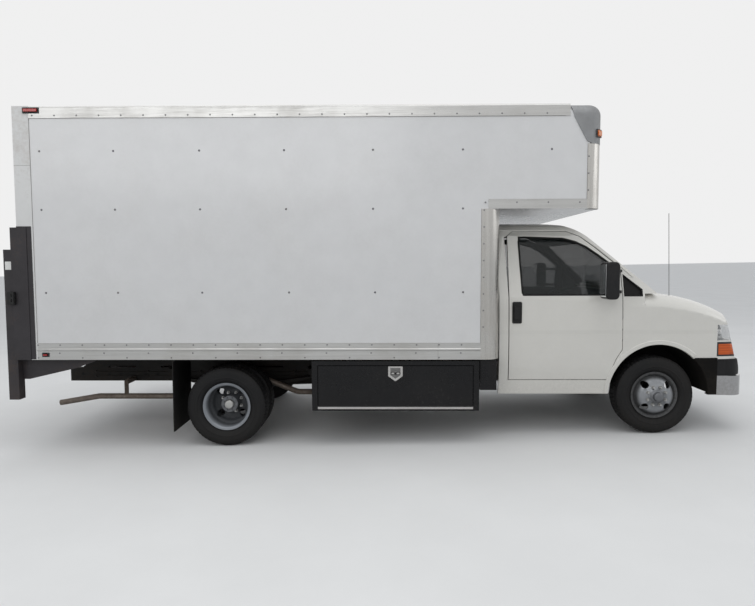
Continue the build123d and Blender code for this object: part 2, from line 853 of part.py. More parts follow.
# Windshield opening, seen from the front.
with BuildPart() as screen_region:
    with BuildSketch(Plane.YZ.offset(-860)):
        with BuildLine():
            Polyline((-868, 1385), (868, 1385), (752, 1800))
            ThreePointArc((752, 1800), (722, 1836), (680, 1846))
            Line((680, 1846), (-680, 1846))
            ThreePointArc((-680, 1846), (-722, 1836), (-752, 1800))
            Line((-752, 1800), (-868, 1385))
        make_face()
    extrude(amount=900)

# Openings in the front face for the lamps and the grille.
headlamp_foot = 898
headlamp_top = 1046
turn_foot = 748
turn_top = 884
lamp_inner = 640
lamp_outer_x = 553
grille_half = 616
grille_foot = 770
grille_top = 1060
grille_depth = 46
with BuildPart() as lamp_boxes:
    for side in (-1, 1):
        for foot, top in ((headlamp_foot, headlamp_top), (turn_foot, turn_top)):
            with Locations((lamp_outer_x + 200, side * (lamp_inner + 200), (foot + top) / 2)):
                Box(400, 400, top - foot)
with BuildPart() as grille_box:
    with Locations((800, 0, (grille_foot + grille_top) / 2)):
        Box(400, 2 * grille_half, grille_top - grille_foot)

# Cab shell: roof, back wall, rockers, floor, firewall, fenders and front face.
liner_inner = 520
liner_outer = 968
hood_half = 790
hood_front_z = 1085
hood_rear_x = 22
with BuildPart() as cabin:
    add(cab_inner)
    with Locations((-900, 0, cab_floor_z + 1000)):
        Box(1600, 2200, 2000, mode=Mode.INTERSECT)
with BuildPart() as bay:
    add(nose_inner)
    with Locations((400, 0, 800)):
        Box(1000, 2200, 1400, mode=Mode.INTERSECT)
with BuildPart() as cab_shell:
    add(cab_outer)
    add(nose_outer)
    with Locations((700, 0, cover_top - 222)):
        Box(800, 2200, 444, mode=Mode.SUBTRACT)
    add(cabin.part, mode=Mode.SUBTRACT)
    with Locations((-800, 0, cab_floor_foot - 100)):
        Box(1400, 2 * (cab_half - cab_wall) - 40, 200, mode=Mode.SUBTRACT)
    add(bay.part, mode=Mode.SUBTRACT)
    with BuildSketch(Plane.XZ.offset(-1100)):
        with Locations((arch_x, arch_z)):
            Circle(arch_radius)
    extrude(amount=2200, mode=Mode.SUBTRACT)
    for side in (-1, 1):
        with BuildSketch(Plane.XZ.offset(-side * liner_inner)):
            with Locations((arch_x, arch_z)):
                Circle(arch_radius + 12)
        extrude(amount=-side * (liner_outer - liner_inner), mode=Mode.SUBTRACT)
    add(screen_region.part, mode=Mode.SUBTRACT)
    for piece in (door_region(door_gap), quarter_region()):
        add(piece, mode=Mode.SUBTRACT)
        add(piece.mirror(Plane.XZ), mode=Mode.SUBTRACT)
    with BuildSketch(Plane.XZ.offset(-1100)):
        with BuildLine():
            Polyline(
                (door_rear_x, door_foot - door_gap),
                (door_rear_x - door_rear_gap, door_foot - door_gap),
                (door_rear_x - door_rear_gap, belt_z),
                (door_rear_x - door_swing_gap, door_top_z),
                (door_rear_x, door_top_z),
                close=True,
            )
        make_face()
    extrude(amount=2200, mode=Mode.SUBTRACT)
    add(lamp_boxes.part, mode=Mode.SUBTRACT)
    add(grille_box.part, mode=Mode.SUBTRACT)
    with Locations((hood_rear_x - door_gap + 500, 0, hood_front_z - door_gap + 200)):
        Box(1000, 2 * (hood_half + door_gap), 400, mode=Mode.SUBTRACT)
cab_shell.part.label = "cab_shell"
export_step(cab_shell.part.moved(stance), "parts/cab_shell.step")

# Hood: the top of the nose form as one lid, with a rib frame under it.
hood_skin = 24
nose_core = nose_form(hood_skin)
with BuildPart() as hood:
    add(nose_outer)
    add(nose_core, mode=Mode.SUBTRACT)
    with Locations((hood_rear_x + 500, 0, hood_front_z + 200)):
        Box(1000, 2 * hood_half, 400, mode=Mode.INTERSECT)
hood.part.label = "hood"
export_step(hood.part.moved(stance), "parts/hood.step")

# Front lamps and grille, cut from the nose form's own surface.
lamp_core = nose_form(60)
with BuildPart() as front_lamps:
    add(nose_outer)
    add(lamp_core, mode=Mode.SUBTRACT)
    add(lamp_boxes.part, mode=Mode.INTERSECT)
front_lamps.part.label = "front_lamps"
export_step(front_lamps.part.moved(stance), "parts/front_lamps.step")

grille_core = nose_form(grille_depth)
bar_count = 5
post_count = 8
with BuildPart() as grille:
    add(nose_outer)
    add(grille_core, mode=Mode.SUBTRACT)
    add(grille_box.part, mode=Mode.INTERSECT)
    pitch_z = (grille_top - grille_foot - 20) / bar_count
    pitch_y = (2 * grille_half - 20) / post_count
    with BuildSketch(Plane.YZ.offset(500)):
        with Locations((0, (grille_foot + grille_top) / 2)):
            with GridLocations(pitch_y, pitch_z, post_count, bar_count):
                Rectangle(pitch_y - 18, pitch_z - 20)
    extrude(amount=500, mode=Mode.SUBTRACT)
grille.part.label = "grille"
export_step(grille.part.moved(stance), "parts/grille.step")

# Radiator: a finned core between two side tanks, standing on the ends of the frame.
radiator_x = 585
radiator_top = 1010
radiator_core_half = 360
with BuildPart() as radiator:
    with Locations((radiator_x, 0, (rail_top + radiator_top) / 2)):
        Box(50, 2 * rail_half, radiator_top - rail_top)
    for x in (radiator_x - 25, radiator_x + 25):
        with Locations((x, 0, (rail_top + radiator_top) / 2)):
            Box(20, 2 * radiator_core_half, radiator_top - rail_top - 70, mode=Mode.SUBTRACT)
radiator.part.label = "radiator"
export_step(radiator.part.moved(stance), "parts/radiator.step")

# Bumper: a curved chrome channel on the frame's brackets, and the dark cover above it.
def bumper_plan(inset):
    """The bumper's outline from above, shrunk by an inset."""
    tip_y = 985 - inset
    end_x = 836 - inset
    end_y = 880 - inset * 0.3
    for side in (-1, 1):
        Line((bumper_tip_x, side * tip_y), (bumper_tip_x + 160, side * tip_y))
        ThreePointArc(
            (bumper_tip_x + 160, side * tip_y),
            (790 - inset * 0.7, side * (962 - inset * 0.7)),
            (end_x, side * end_y),
        )
    ThreePointArc((end_x, -end_y), (bumper_front_x - inset, 0), (end_x, end_y))
    Line((bumper_tip_x, -tip_y), (bumper_tip_x, tip_y))


bumper_tip_x = 494
bumper_skin = 8
with BuildPart() as bumper:
    for inset, mode in ((0, Mode.ADD), (bumper_skin, Mode.SUBTRACT)):
        with BuildSketch(Plane.XY.offset(bumper_foot + inset)):
            with BuildLine():
                bumper_plan(inset)
            make_face()
        extrude(amount=bumper_top - bumper_foot - 2 * inset, mode=mode)
    with BuildSketch(Plane.XY.offset(bumper_foot)):
        with BuildLine():
            bumper_plan(70)
        make_face()
    extrude(amount=bumper_top - bumper_foot, mode=Mode.SUBTRACT)
    for side in (-1, 1):
        with Locations((bumper_pad_x + 8, side * 400, 470)):
            Box(16, 44, 70)
bumper.part.label = "bumper"
export_step(bumper.part.moved(stance), "parts/bumper.step")

with BuildPart() as bumper_cover:
    with BuildSketch(Plane.XY.offset(bumper_top)):
        with BuildLine():
            bumper_plan(14)
        make_face()
    extrude(amount=cover_top - bumper_top)
    with BuildSketch(Plane.XY.offset(bumper_top)):
        with BuildLine():
            bumper_plan(50)
        make_face()
    extrude(amount=cover_top - bumper_top, mode=Mode.SUBTRACT)
    with Locations(Location((face_centre_x, 0, nose_z), (0, face_tilt, 0))):
        Cylinder(face_radius + 20, 3000, mode=Mode.INTERSECT)
bumper_cover.part.label = "bumper_cover"
export_step(bumper_cover.part.moved(stance), "parts/bumper_cover.step")

# Wheelhouses: a half-round liner with an inner wall round each front wheel.
with BuildPart() as wheelhouses:
    for side in (-1, 1):
        with BuildSketch(Plane.XZ.offset(-side * liner_inner)):
            with Locations((arch_x, arch_z)):
                Circle(arch_radius + 12)
                Circle(arch_radius + 4, mode=Mode.SUBTRACT)
            with Locations((arch_x, arch_z - 500)):
                Rectangle(1200, 1014, mode=Mode.SUBTRACT)
        extrude(amount=-side * (liner_outer - liner_inner))
        with BuildSketch(Plane.XZ.offset(-side * liner_inner)):
            with Locations((arch_x, arch_z)):
                Circle(arch_radius + 12)
                Circle(300, mode=Mode.SUBTRACT)
            with Locations((arch_x, arch_z - 500)):
                Rectangle(1200, 1014, mode=Mode.SUBTRACT)
        extrude(amount=-side * 8)
wheelhouses.part.label = "wheelhouses"
export_step(wheelhouses.part.moved(stance), "parts/wheelhouses.step")

# Windshield and the two small fixed windows beside it.
glass_core = cab_form(20)
glass_face = cab_form(14)
with BuildPart() as glazing:
    add(screen_region.part)
    add(quarter_region())
    add(quarter_region().mirror(Plane.XZ))
with BuildPart() as windshield:
    add(glass_face)
    add(glass_core, mode=Mode.SUBTRACT)
    add(glazing.part, mode=Mode.INTERSECT)
windshield.part.label = "windshield"
export_step(windshield.part.moved(stance), "parts/windshield.step")

# Cab doors: as thick as the cab's wall up to the belt, with a thinner window frame.
with BuildPart() as frame_core:
    add(cab_form(32))
    with Locations((-900, 0, belt_z + 500)):
        Box(1600, 2200, 1000, mode=Mode.INTERSECT)
with BuildPart() as cab_door_right:
    add(cab_outer)
    add(cab_inner, mode=Mode.SUBTRACT)
    add(frame_core.part, mode=Mode.SUBTRACT)
    add(door_region(0), mode=Mode.INTERSECT)
    with BuildSketch(Plane.XZ.offset(620)):
        with BuildLine():
            Polyline(
                (door_rear_x, belt_z),
                (door_rear_x, door_top_z + 60),
                (door_rear_x + door_rear_gap, door_top_z + 60),
                close=True,
            )
        make_face()
    extrude(amount=500, mode=Mode.SUBTRACT)
    add(window_region(0), mode=Mode.SUBTRACT)
door_glass_core = cab_form(26)
door_glass_face = cab_form(20)
with BuildPart() as door_glass_right:
    add(door_glass_face)
    add(door_glass_core, mode=Mode.SUBTRACT)
    add(window_region(0), mode=Mode.INTERSECT)
for name, piece in (("cab_door", cab_door_right.part), ("door_glass", door_glass_right.part)):
    for side, form in (("right", piece), ("left", piece.mirror(Plane.XZ))):
        form.label = f"{name}_{side}"
        export_step(form.moved(stance), f"parts/{name}_{side}.step")

# Mirrors: a rounded shell on two arms from each door.
with BuildPart() as mirror_right:
    with BuildSketch(Plane.XZ.offset(1090)):
        with Locations((-536, 1468)):
            RectangleRounded(118, 336, 40)
    extrude(amount=180)
    fillet(mirror_right.faces().filter_by(Axis.Y).edges(), 12)
    for z in (1345, 1540):
        with BuildSketch(Plane.XY.offset(z)):
            with BuildLine():
                Polyline(
                    (-392, -890),
                    (-352, -890),
                    (-352, -1000),
                    (-500, -1100),
                    (-560, -1100),
                    (-560, -1075),
                    (-515, -1075),
                    (-392, -992),
                    close=True,
                )
            make_face()
        extrude(amount=26)
    add(cab_outer, mode=Mode.SUBTRACT)
for side, form in (("right", mirror_right.part), ("left", mirror_right.part.mirror(Plane.XZ))):
    form.label = f"mirror_{side}"
    export_step(form.moved(stance), f"parts/mirror_{side}.step")

# Engine and gearbox: one plain block on two mounts between the rails.
gearbox_rear_x = -900
gearbox_z = 400
shaft_radius = 36
with BuildPart() as engine_block:
    with Locations((215, 0, 700)):
        Box(560, 540, 560)
    for side in (-1, 1):
        with Locations((215, side * (270 + rail_half - rail_plate) / 2, 480)):
            Box(90, rail_half - rail_plate - 270, 60)
    with BuildSketch(Plane.YZ.offset(gearbox_rear_x)):
        with Locations((0, gearbox_z)):
            Circle(75)
    with BuildSketch(Plane.YZ.offset(-64)):
        with Locations((0, 490)):
            Circle(66)
    loft()
engine_block.part.label = "engine_block"
export_step(engine_block.part.moved(stance), "parts/engine_block.step")

# Rear axle: tube, differential, brake plates and spindles, with the springs' pads.
spring_half = 478
pinion_x = rear_axle_x + 190
spindle_radius = 34
with BuildPart() as rear_axle:
    with Locations((rear_axle_x, 0, rear_hub_z)):
        Cylinder(44, 2 * 700, rotation=(90, 0, 0))
        Sphere(132)
    with BuildSketch(Plane.YZ.offset(rear_axle_x + 60)):
        with Locations((0, rear_hub_z)):
            Circle(100)
    with BuildSketch(Plane.YZ.offset(pinion_x)):
        with Locations((0, rear_hub_z)):
            Circle(52)
    loft()
    for side in (-1, 1):
        with Locations((rear_axle_x, side * 688, rear_hub_z)):
            Cylinder(155, 24, rotation=(90, 0, 0))
        with Locations((rear_axle_x, side * 800, rear_hub_z)):
            Cylinder(spindle_radius, 220, rotation=(90, 0, 0))
        with Locations((rear_axle_x, side * spring_half, rear_hub_z + 36)):
            Box(130, 84, 28)
rear_axle.part.label = "rear_axle"
export_step(rear_axle.part.moved(stance), "parts/rear_axle.step")

# Propeller shaft from the gearbox to the axle's pinion.
with BuildPart() as propeller_shaft:
    with BuildSketch(Plane.YZ.offset(pinion_x)):
        with Locations((0, rear_hub_z)):
            Circle(shaft_radius)
    with BuildSketch(Plane.YZ.offset(gearbox_rear_x)):
        with Locations((0, gearbox_z)):
            Circle(shaft_radius)
    loft()
propeller_shaft.part.label = "propeller_shaft"
export_step(propeller_shaft.part.moved(stance), "parts/propeller_shaft.step")

# Suspension: front control arms, and rear leaf packs between hangers on the rails.
spring_seat_z = rear_hub_z + 50
spring_eye_z = 478
spring_front_x = rear_axle_x + 725
spring_rear_x = rear_axle_x - 725
eye_radius = 26
leaf_foot = spring_eye_z - eye_radius
pin_half = 765
lower_ball_z = 232
upper_ball_z = 512
with BuildPart() as suspension:
    for side in (-1, 1):
        with BuildSketch(Plane.XZ.offset(-side * (spring_half - 36))):
            with BuildLine():
                ThreePointArc(
                    (spring_rear_x, leaf_foot),
                    (rear_axle_x, spring_seat_z),
                    (spring_front_x, leaf_foot),
                )
                Polyline(
                    (spring_front_x, leaf_foot),
                    (spring_front_x, leaf_foot + 14),
                    (rear_axle_x + 330, spring_seat_z + 62),
                    (rear_axle_x - 330, spring_seat_z + 62),
                    (spring_rear_x, leaf_foot + 14),
                    (spring_rear_x, leaf_foot),
                )
            make_face()
        extrude(amount=-side * 72)
        for x in (spring_front_x, spring_rear_x):
            with Locations((x, side * spring_half, spring_eye_z)):
                Cylinder(eye_radius, 72, rotation=(90, 0, 0))
            with BuildSketch(Plane.XZ.offset(-side * rail_half)):
                with Locations((x, spring_eye_z + 36)):
                    Rectangle(90, 60)
            extrude(amount=-side * (spring_half + 40 - rail_half))
        with BuildSketch(Plane.XY.offset(lower_ball_z - 12)):
            with BuildLine():
                Polyline(
                    (-150, side * 380),
                    (150, side * 380),
                    (34, side * (pin_half - 30)),
                    (34, side * (pin_half + 28)),
                    (-34, side * (pin_half + 28)),
                    (-34, side * (pin_half - 30)),
                    close=True,
                )
            make_face()
            with Locations((0, side * 520)):
                Circle(60, mode=Mode.SUBTRACT)
        extrude(amount=24)
        with Locations((0, side * 402, 304)):
            Box(200, 40, 150)
        with BuildSketch(Plane.XY.offset(upper_ball_z - 10)):
            with BuildLine():
                Polyline(
                    (-110, side * rail_half),
                    (110, side * rail_half),
                    (28, side * (pin_half - 30)),
                    (28, side * (pin_half + 22)),
                    (-28, side * (pin_half + 22)),
                    (-28, side * (pin_half - 30)),
                    close=True,
                )
            make_face()
        extrude(amount=20)
        for z, depth in ((lower_ball_z, 24), (upper_ball_z, 20)):
            with Locations((0, side * pin_half, z)):
                Cylinder(12.5, depth + 2, mode=Mode.SUBTRACT)
suspension.part.label = "suspension"
export_step(suspension.part.moved(stance), "parts/suspension.step")

# Knuckles: an upright between the two ball joints with the wheel's spindle.
with BuildPart() as knuckle_left:
    with Locations((0, pin_half, (lower_ball_z + upper_ball_z) / 2)):
        Box(64, 44, upper_ball_z - lower_ball_z - 60)
        Cylinder(12, upper_ball_z - lower_ball_z + 18)
    with Locations((0, pin_half, front_hub_z)):
        Cylinder(120, 30, rotation=(90, 0, 0))
    with Locations((0, pin_half + 95, front_hub_z)):
        Cylinder(spindle_radius, 190, rotation=(90, 0, 0))
for side, form in (("left", knuckle_left.part), ("right", knuckle_left.part.mirror(Plane.XZ))):
    form.label = f"knuckle_{side}"
    export_step(form.moved(stance), f"parts/knuckle_{side}.step")

# Wheels: a steel rim and its dished disc turned about the axle, then four hand holes.
lip_radius = 222
lip_half = rim_width / 2
bead_half = 75
hole_circle = 146
hole_radius = 33


def wheel(hub_y, hub_length, cap_radius):
    """A rim whose disc bulges towards +Y, with a hub from hub_y outwards; the middle is the origin."""
    with BuildPart() as form:
        with BuildSketch(Plane.XY):
            with BuildLine():
                Polyline(
                    (rim_radius, -bead_half),
                    (lip_radius, -bead_half - 2),
                    (lip_radius, -lip_half - 2),
                    (rim_radius - 8, -lip_half + 4),
                    (rim_radius - 8, 38),
                    (172, 60),
                    (160, 98),
                    (128, disc_offset - 10),
                    (50, disc_offset - 10),
                    (50, disc_offset),
                    (132, disc_offset),
                    (168, 106),
                    (182, 66),
                    (rim_radius - 8, 54),
                    (rim_radius - 8, lip_half - 4),
                    (lip_radius, lip_half + 2),
                    (lip_radius, bead_half + 2),
                    (rim_radius, bead_half),
                    close=True,
                )
            make_face()
        revolve(axis=Axis.Y)
        with Locations((0, hub_y + hub_length / 2, 0)):
            Cylinder(cap_radius, hub_length, rotation=(90, 0, 0))
        with BuildSketch(Plane.XZ.offset(-disc_offset - 40)):
            with PolarLocations(hole_circle, 4, start_angle=45):
                Circle(hole_radius)
        extrude(amount=disc_offset, mode=Mode.SUBTRACT)
    return form.part


tyre_sides = 48
tread_table = (
    # place across the tyre, radius
    (-tyre_width / 2, 300),
    (-92, 360),
    (-66, tyre_radius),
    (66, tyre_radius),
    (92, 360),
    (tyre_width / 2, 300),
)


def tyre_section(y, radius):
    """One many-sided ring of the tyre, across its width at y."""
    with BuildSketch(Plane.XZ.offset(-y), mode=Mode.PRIVATE) as section:
        RegularPolygon(radius, tyre_sides)
    return section.sketch


def tyre():
    """A closed tyre on its rim, its middle at the origin."""
    with BuildPart() as form:
        loft([tyre_section(y, radius).face() for y, radius in tread_table], ruled=True)
        for side in (-1, 1):
            bead = tyre_section(side * bead_half, lip_radius + 5)
            bulge = tyre_section(side * tyre_width / 2, 300)
            loft([bead.face(), bulge.face()], ruled=True, mode=Mode.SUBTRACT)
        with BuildSketch(Plane.XZ.offset(-bead_half)):
            RegularPolygon(rim_radius + 0.1, tyre_sides, major_radius=False)
        extrude(amount=2 * bead_half, mode=Mode.SUBTRACT)
    return form.part


front_hub_foot = pin_half + 22 - front_track_half
front_hub_length = 1008 - pin_half - 22
front_wheel = wheel(front_hub_foot, front_hub_length, 70).moved(Location((0, front_track_half, front_hub_z)))
with BuildPart() as front_wheel_left:
    add(front_wheel)
    with Locations((0, pin_half + 95, front_hub_z)):
        Cylinder(spindle_radius + 0.5, 194, rotation=(90, 0, 0), mode=Mode.SUBTRACT)
inner_place = Location((rear_axle_x, rear_inner_half, rear_hub_z))
outer_place = Location((rear_axle_x, rear_outer_half, rear_hub_z))
inner_wheel = wheel(-80, disc_offset + 80, 92).moved(inner_place)
outer_wheel = wheel(20, disc_offset - 20, 76).mirror(Plane.XZ).moved(outer_place)
with BuildPart() as rear_wheels_left:
    add(inner_wheel)
    add(outer_wheel)
    with Locations((rear_axle_x, 800, rear_hub_z)):
        Cylinder(spindle_radius + 0.5, 224, rotation=(90, 0, 0), mode=Mode.SUBTRACT)
with BuildPart() as front_tyre_left:
    add(tyre().moved(Location((0, front_track_half, front_hub_z))))
with BuildPart() as rear_tyres_left:
    for y in (rear_inner_half, rear_outer_half):
        add(tyre().moved(Location((rear_axle_x, y, rear_hub_z))))
for name, piece in (
    ("front_wheel", front_wheel_left.part),
    ("rear_wheels", rear_wheels_left.part),
    ("front_tyre", front_tyre_left.part),
    ("rear_tyres", rear_tyres_left.part),
):
    for side, form in (("left", piece), ("right", piece.mirror(Plane.XZ))):
        form.label = f"{name}_{side}"
        export_step(form.moved(stance), f"parts/{name}_{side}.step")

# Exhaust: silencer and pipe outboard of the spring, arched over the axle.
pipe_radius = 28
pipe_y = -620
tail_x = -5880
with BuildPart() as exhaust:
    with BuildLine():
        FilletPolyline(
            (-1900, pipe_y, 330),
            (-3450, pipe_y, 330),
            (-3800, pipe_y, 470),
            (-4260, pipe_y, 470),
            (-4620, pipe_y, 285),
            (-5480, pipe_y, 285),
            (tail_x, pipe_y, 217),
            radius=150,
        )
    with BuildSketch(Plane.YZ.offset(-1900)):
        with Locations((pipe_y, 330)):
            Circle(pipe_radius)
            Circle(pipe_radius - 3, mode=Mode.SUBTRACT)
    sweep()
    with BuildSketch(Plane.YZ.offset(-3300)):
        with Locations((pipe_y + 40, 330)):
            RectangleRounded(200, 150, 70)
    extrude(amount=620)
    for x, foot in ((-2700, 400), (-5200, 311)):
        with Locations((x, (pipe_y - 6 - rail_half) / 2, 430)):
            Box(40, 6 - pipe_y - rail_half, 40)
        with Locations((x, pipe_y, (foot + 450) / 2)):
            Box(40, 12, 450 - foot)
exhaust.part.label = "exhaust"
export_step(exhaust.part.moved(stance), "parts/exhaust.step")

# Fuel tank on the left of the frame, in two straps.
with BuildPart() as fuel_tank:
    with Locations((-2720, 680, 420)):
        Box(1000, 420, 250)
    fillet(fuel_tank.edges().filter_by(Axis.X), 60)
    for x in (-3040, -2400):
        with Locations((x, 460, 500)):
            Box(60, 60, 60)
fuel_tank.part.label = "fuel_tank"
export_step(fuel_tank.part.moved(stance), "parts/fuel_tank.step")

# Cabin: dashboard, steering wheel and two seats.
dash_front_x = firewall_x - cab_wall
with BuildPart() as dashboard:
    with BuildSketch(Plane.XZ.offset(-900)):
        with BuildLine():
            Polyline((-400, 1240), (dash_front_x, 1330), (dash_front_x, 960), (-420, 940), (-500, 1090))
            ThreePointArc((-500, 1090), (-480, 1190), (-400, 1240))
        make_face()
    extrude(amount=1800)
dashboard.part.label = "dashboard"
export_step(dashboard.part.moved(stance), "parts/dashboard.step")

wheel_plane = Plane(origin=(-650, 430, 1160), x_dir=(0, 1, 0), z_dir=(-0.88, 0, 0.475))
with BuildPart() as steering_wheel:
    with BuildSketch(wheel_plane):
        Circle(60)
        Rectangle(370, 34)
        with Locations((0, -90)):
            Rectangle(34, 180)
    extrude(amount=-14)
    with BuildSketch(wheel_plane):
        Circle(196)
        Circle(168, mode=Mode.SUBTRACT)
    extrude(amount=-24)
    with BuildSketch(wheel_plane.offset(-14)):
        Circle(34)
    extrude(amount=-180)
    add(dashboard.part, mode=Mode.SUBTRACT)
steering_wheel.part.label = "steering_wheel"
export_step(steering_wheel.part.moved(stance), "parts/steering_wheel.step")

with BuildPart() as seats:
    for side in (-1, 1):
        with BuildSketch(Plane.XZ.offset(-side * 430 - 250)):
            with BuildLine():
                Polyline(
                    (-1340, 760),
                    (-860, 800),
                    (-820, 900),
                    (-850, 930),
                    (-1200, 900),
                    (-1330, 1560),
                    (-1420, 1570),
                    (-1425, 1500),
                    (-1390, 1000),
                    close=True,
                )
            make_face()
        extrude(amount=500)
        with Locations((-1100, side * 430, (cab_floor_z + 790) / 2)):
            Box(380, 380, 790 - cab_floor_z)
seats.part.label = "seats"
export_step(seats.part.moved(stance), "parts/seats.step")
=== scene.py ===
import json
from math import cos, pi, radians, sin

import bmesh
import bpy
from mathutils import Matrix, Vector
from mathutils.bvhtree import BVHTree


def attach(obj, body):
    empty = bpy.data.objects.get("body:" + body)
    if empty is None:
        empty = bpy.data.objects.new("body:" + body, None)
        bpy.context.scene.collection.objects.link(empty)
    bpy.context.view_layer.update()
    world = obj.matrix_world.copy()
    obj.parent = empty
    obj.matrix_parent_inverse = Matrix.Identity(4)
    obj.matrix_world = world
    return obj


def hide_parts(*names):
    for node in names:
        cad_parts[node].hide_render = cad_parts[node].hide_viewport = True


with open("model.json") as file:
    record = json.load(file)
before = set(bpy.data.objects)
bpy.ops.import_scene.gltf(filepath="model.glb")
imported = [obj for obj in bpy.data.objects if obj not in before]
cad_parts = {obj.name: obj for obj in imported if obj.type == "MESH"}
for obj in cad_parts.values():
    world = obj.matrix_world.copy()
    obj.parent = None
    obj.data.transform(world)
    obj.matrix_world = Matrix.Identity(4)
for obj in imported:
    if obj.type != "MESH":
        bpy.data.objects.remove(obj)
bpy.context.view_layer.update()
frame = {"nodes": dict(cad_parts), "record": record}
nodes = frame["nodes"]

# Stance. The empty truck stands nose down by 0.95 degrees. Every piece is drawn level, in metres,
# with X forward from the front axle and Z up from the ground there, and the stance turns it. Y is
# below zero on the right. What is the same on both sides is drawn on one and mirrored.
rake = radians(0.95)
front_axle = 2.546282
stance = Matrix.Translation((front_axle, 0, 0.000051)) @ Matrix.Rotation(rake, 4, "Y")
axle_height = 0.370
axle_x = -4.039
axle_z = axle_height + axle_x * sin(rake) / cos(rake)
to_right = (0, -1, 0)
to_left = (0, 1, 0)
to_front = (1, 0, 0)
to_rear = (-1, 0, 0)
to_top = (0, 0, 1)


def linked(name, data):
    """An object in the scene that holds some data."""
    holder = bpy.data.objects.new(name, data)
    bpy.context.collection.objects.link(holder)
    return holder


# Camera. It stands level with a person's eyes on the truck's right, a little behind the middle,
# and looks slightly down, with a moderate wide angle.
camera = linked("camera", bpy.data.cameras.new("camera"))
camera.data.sensor_width = 36
camera.data.lens = 27.684
camera_axes = (
    # right, up, back
    (0.9999, 0.0106, -0.0024),
    (0.0017, 0.0661, 0.9978),
    (0.0107, -0.9978, 0.0661),
)
camera_place = Matrix.Translation((-2.577, -6.445, 1.6175))
camera.matrix_world = stance @ camera_place @ Matrix(camera_axes).transposed().to_4x4()
bpy.context.scene.camera = camera


# Materials and node trees are written as arithmetic on wires.
class Wire:
    """One output in a node tree. Arithmetic on it adds Math nodes."""

    def __init__(self, tree, socket=None):
        self.tree = tree
        self.socket = socket

    def node(self, kind, settings={}, sockets={}, out=0):
        """Adds a node: first its settings, then the values or links of its sockets."""
        made = self.tree.nodes.new(kind if "Node" in kind else "ShaderNode" + kind)
        for key, value in settings.items():
            setattr(made, key, value)
        for key, value in sockets.items():
            if isinstance(value, Wire):
                self.tree.links.new(value.socket, made.inputs[key])
            else:
                made.inputs[key].default_value = value
        return Wire(self.tree, made.outputs[out])

    def maths(self, operation, *values, clamp=False):
        settings = {"operation": operation, "use_clamp": clamp}
        return self.node("Math", settings, dict(enumerate(values)))

    def __add__(self, other):
        return self.maths("ADD", self, other)

    __radd__ = __add__

    def __sub__(self, other):
        return self.maths("SUBTRACT", self, other)

    def __rsub__(self, other):
        return self.maths("SUBTRACT", other, self)

    def __mul__(self, other):
        return self.maths("MULTIPLY", self, other)

    __rmul__ = __mul__

    def __abs__(self):
        return self.maths("ABSOLUTE", self)

    def fraction(self):
        return self.maths("FRACT", self)

    def clamp(self):
        return self.maths("ADD", self, 0, clamp=True)

    def ramp(self, low, high):
        """0 where this is at low or below, 1 where it is at high or above."""
        return self.node("MapRange", {"clamp": True}, {0: self, 1: low, 2: high, 3: 0.0, 4: 1.0})

    def noise(self, scale, detail=4.0, roughness=0.55):
        values = {"Vector": self, "Scale": scale, "Detail": detail, "Roughness": roughness}
        return self.node("TexNoise", {}, values)

    def stretched(self, scale):
        return self.node("Mapping", {}, {"Vector": self, "Scale": scale})

    def part(self, letter):
        """One coordinate of a place."""
        return self.node("SeparateXYZ", {}, {0: self}, out="XYZ".index(letter))

    def tint(self, first, second):
        """Mixes two colours by this factor."""
        return self.node("Mix", {"data_type": "RGBA"}, {0: self, 6: first, 7: second}, out=2)


def link(wire, shader, name):
    wire.tree.links.new(wire.socket, shader.inputs[name])


def emboss(relief, shader):
    """Gives a shader a relief in metres."""
    link(relief.node("Bump", {}, {"Height": relief, "Distance": 1.0}), shader, "Normal")


def new_material(name):
    """A material with a Principled shader, its wire of object coordinates, and the shader."""
    material = bpy.data.materials.new(name)
    material.use_nodes = True
    object_output = 3
    place = Wire(material.node_tree).node("TexCoord", out=object_output)
    return material, place, material.node_tree.nodes["Principled BSDF"]


def finish(name, colour, soil=(0.30, 0.27, 0.23), soiled=0.15, low=(0.0, 1.2), rough=0.4,
           uneven=0.15, metal=0.0, coat=0.0, gloss=0.5, grain=(0.0, 200.0), wave=(0.0, 1.5),
           stretch=(1, 1, 1), shade=0.08, pressing=None):
    """A finish with patchy soil, more of it low down, and a relief of fine grain and long waves.

    low is the extra soil near the ground and the height where it ends. grain and wave are each a
    height in metres and a scale. shade is how far the colour varies, uneven how far the roughness.
    """
    material, place, shader = new_material(name)
    low_soil, low_top = low
    grid = place.stretched(stretch)
    patch = place.noise(1.7, 8.0, 0.6)
    speck = grid.noise(38.0, 5.0, 0.6)
    dirt = ((patch + speck * 0.5 - 0.72) * 3.2).clamp() * soiled
    splash = (1 - place.part("Z").ramp(0.1, low_top)) * (0.35 + 0.9 * speck) * low_soil
    mask = (dirt + splash).clamp()
    bright = tuple(min(1.0, c * (1 + shade)) for c in colour)
    dark = tuple(c * (1 - shade) for c in colour)
    clean = grid.noise(6.0, 6.0, 0.6).ramp(0.3, 0.7).tint(bright + (1,), dark + (1,))
    link(mask.tint(clean, soil + (1,)), shader, "Base Color")
    link((rough + mask * 0.45 + (speck - 0.5) * uneven).clamp(), shader, "Roughness")
    if metal:
        link(metal * (1 - mask * 0.8), shader, "Metallic")
    shader.inputs["Specular IOR Level"].default_value = gloss
    shader.inputs["Coat Weight"].default_value = coat
    shader.inputs["Coat Roughness"].default_value = 0.18
    relief = grid.noise(grain[1], 3.0, 0.5) * grain[0] + place.noise(wave[1], 2.0, 0.4) * wave[0]
    if pressing:
        relief = relief + pressing(place)
    emboss(relief, shader)
    return material


def level_height(place):
    """The height of a point above the ground line that the truck is drawn from."""
    along = place.part("X") * sin(rake)
    return along + place.part("Z") * cos(rake) - front_axle * sin(rake)


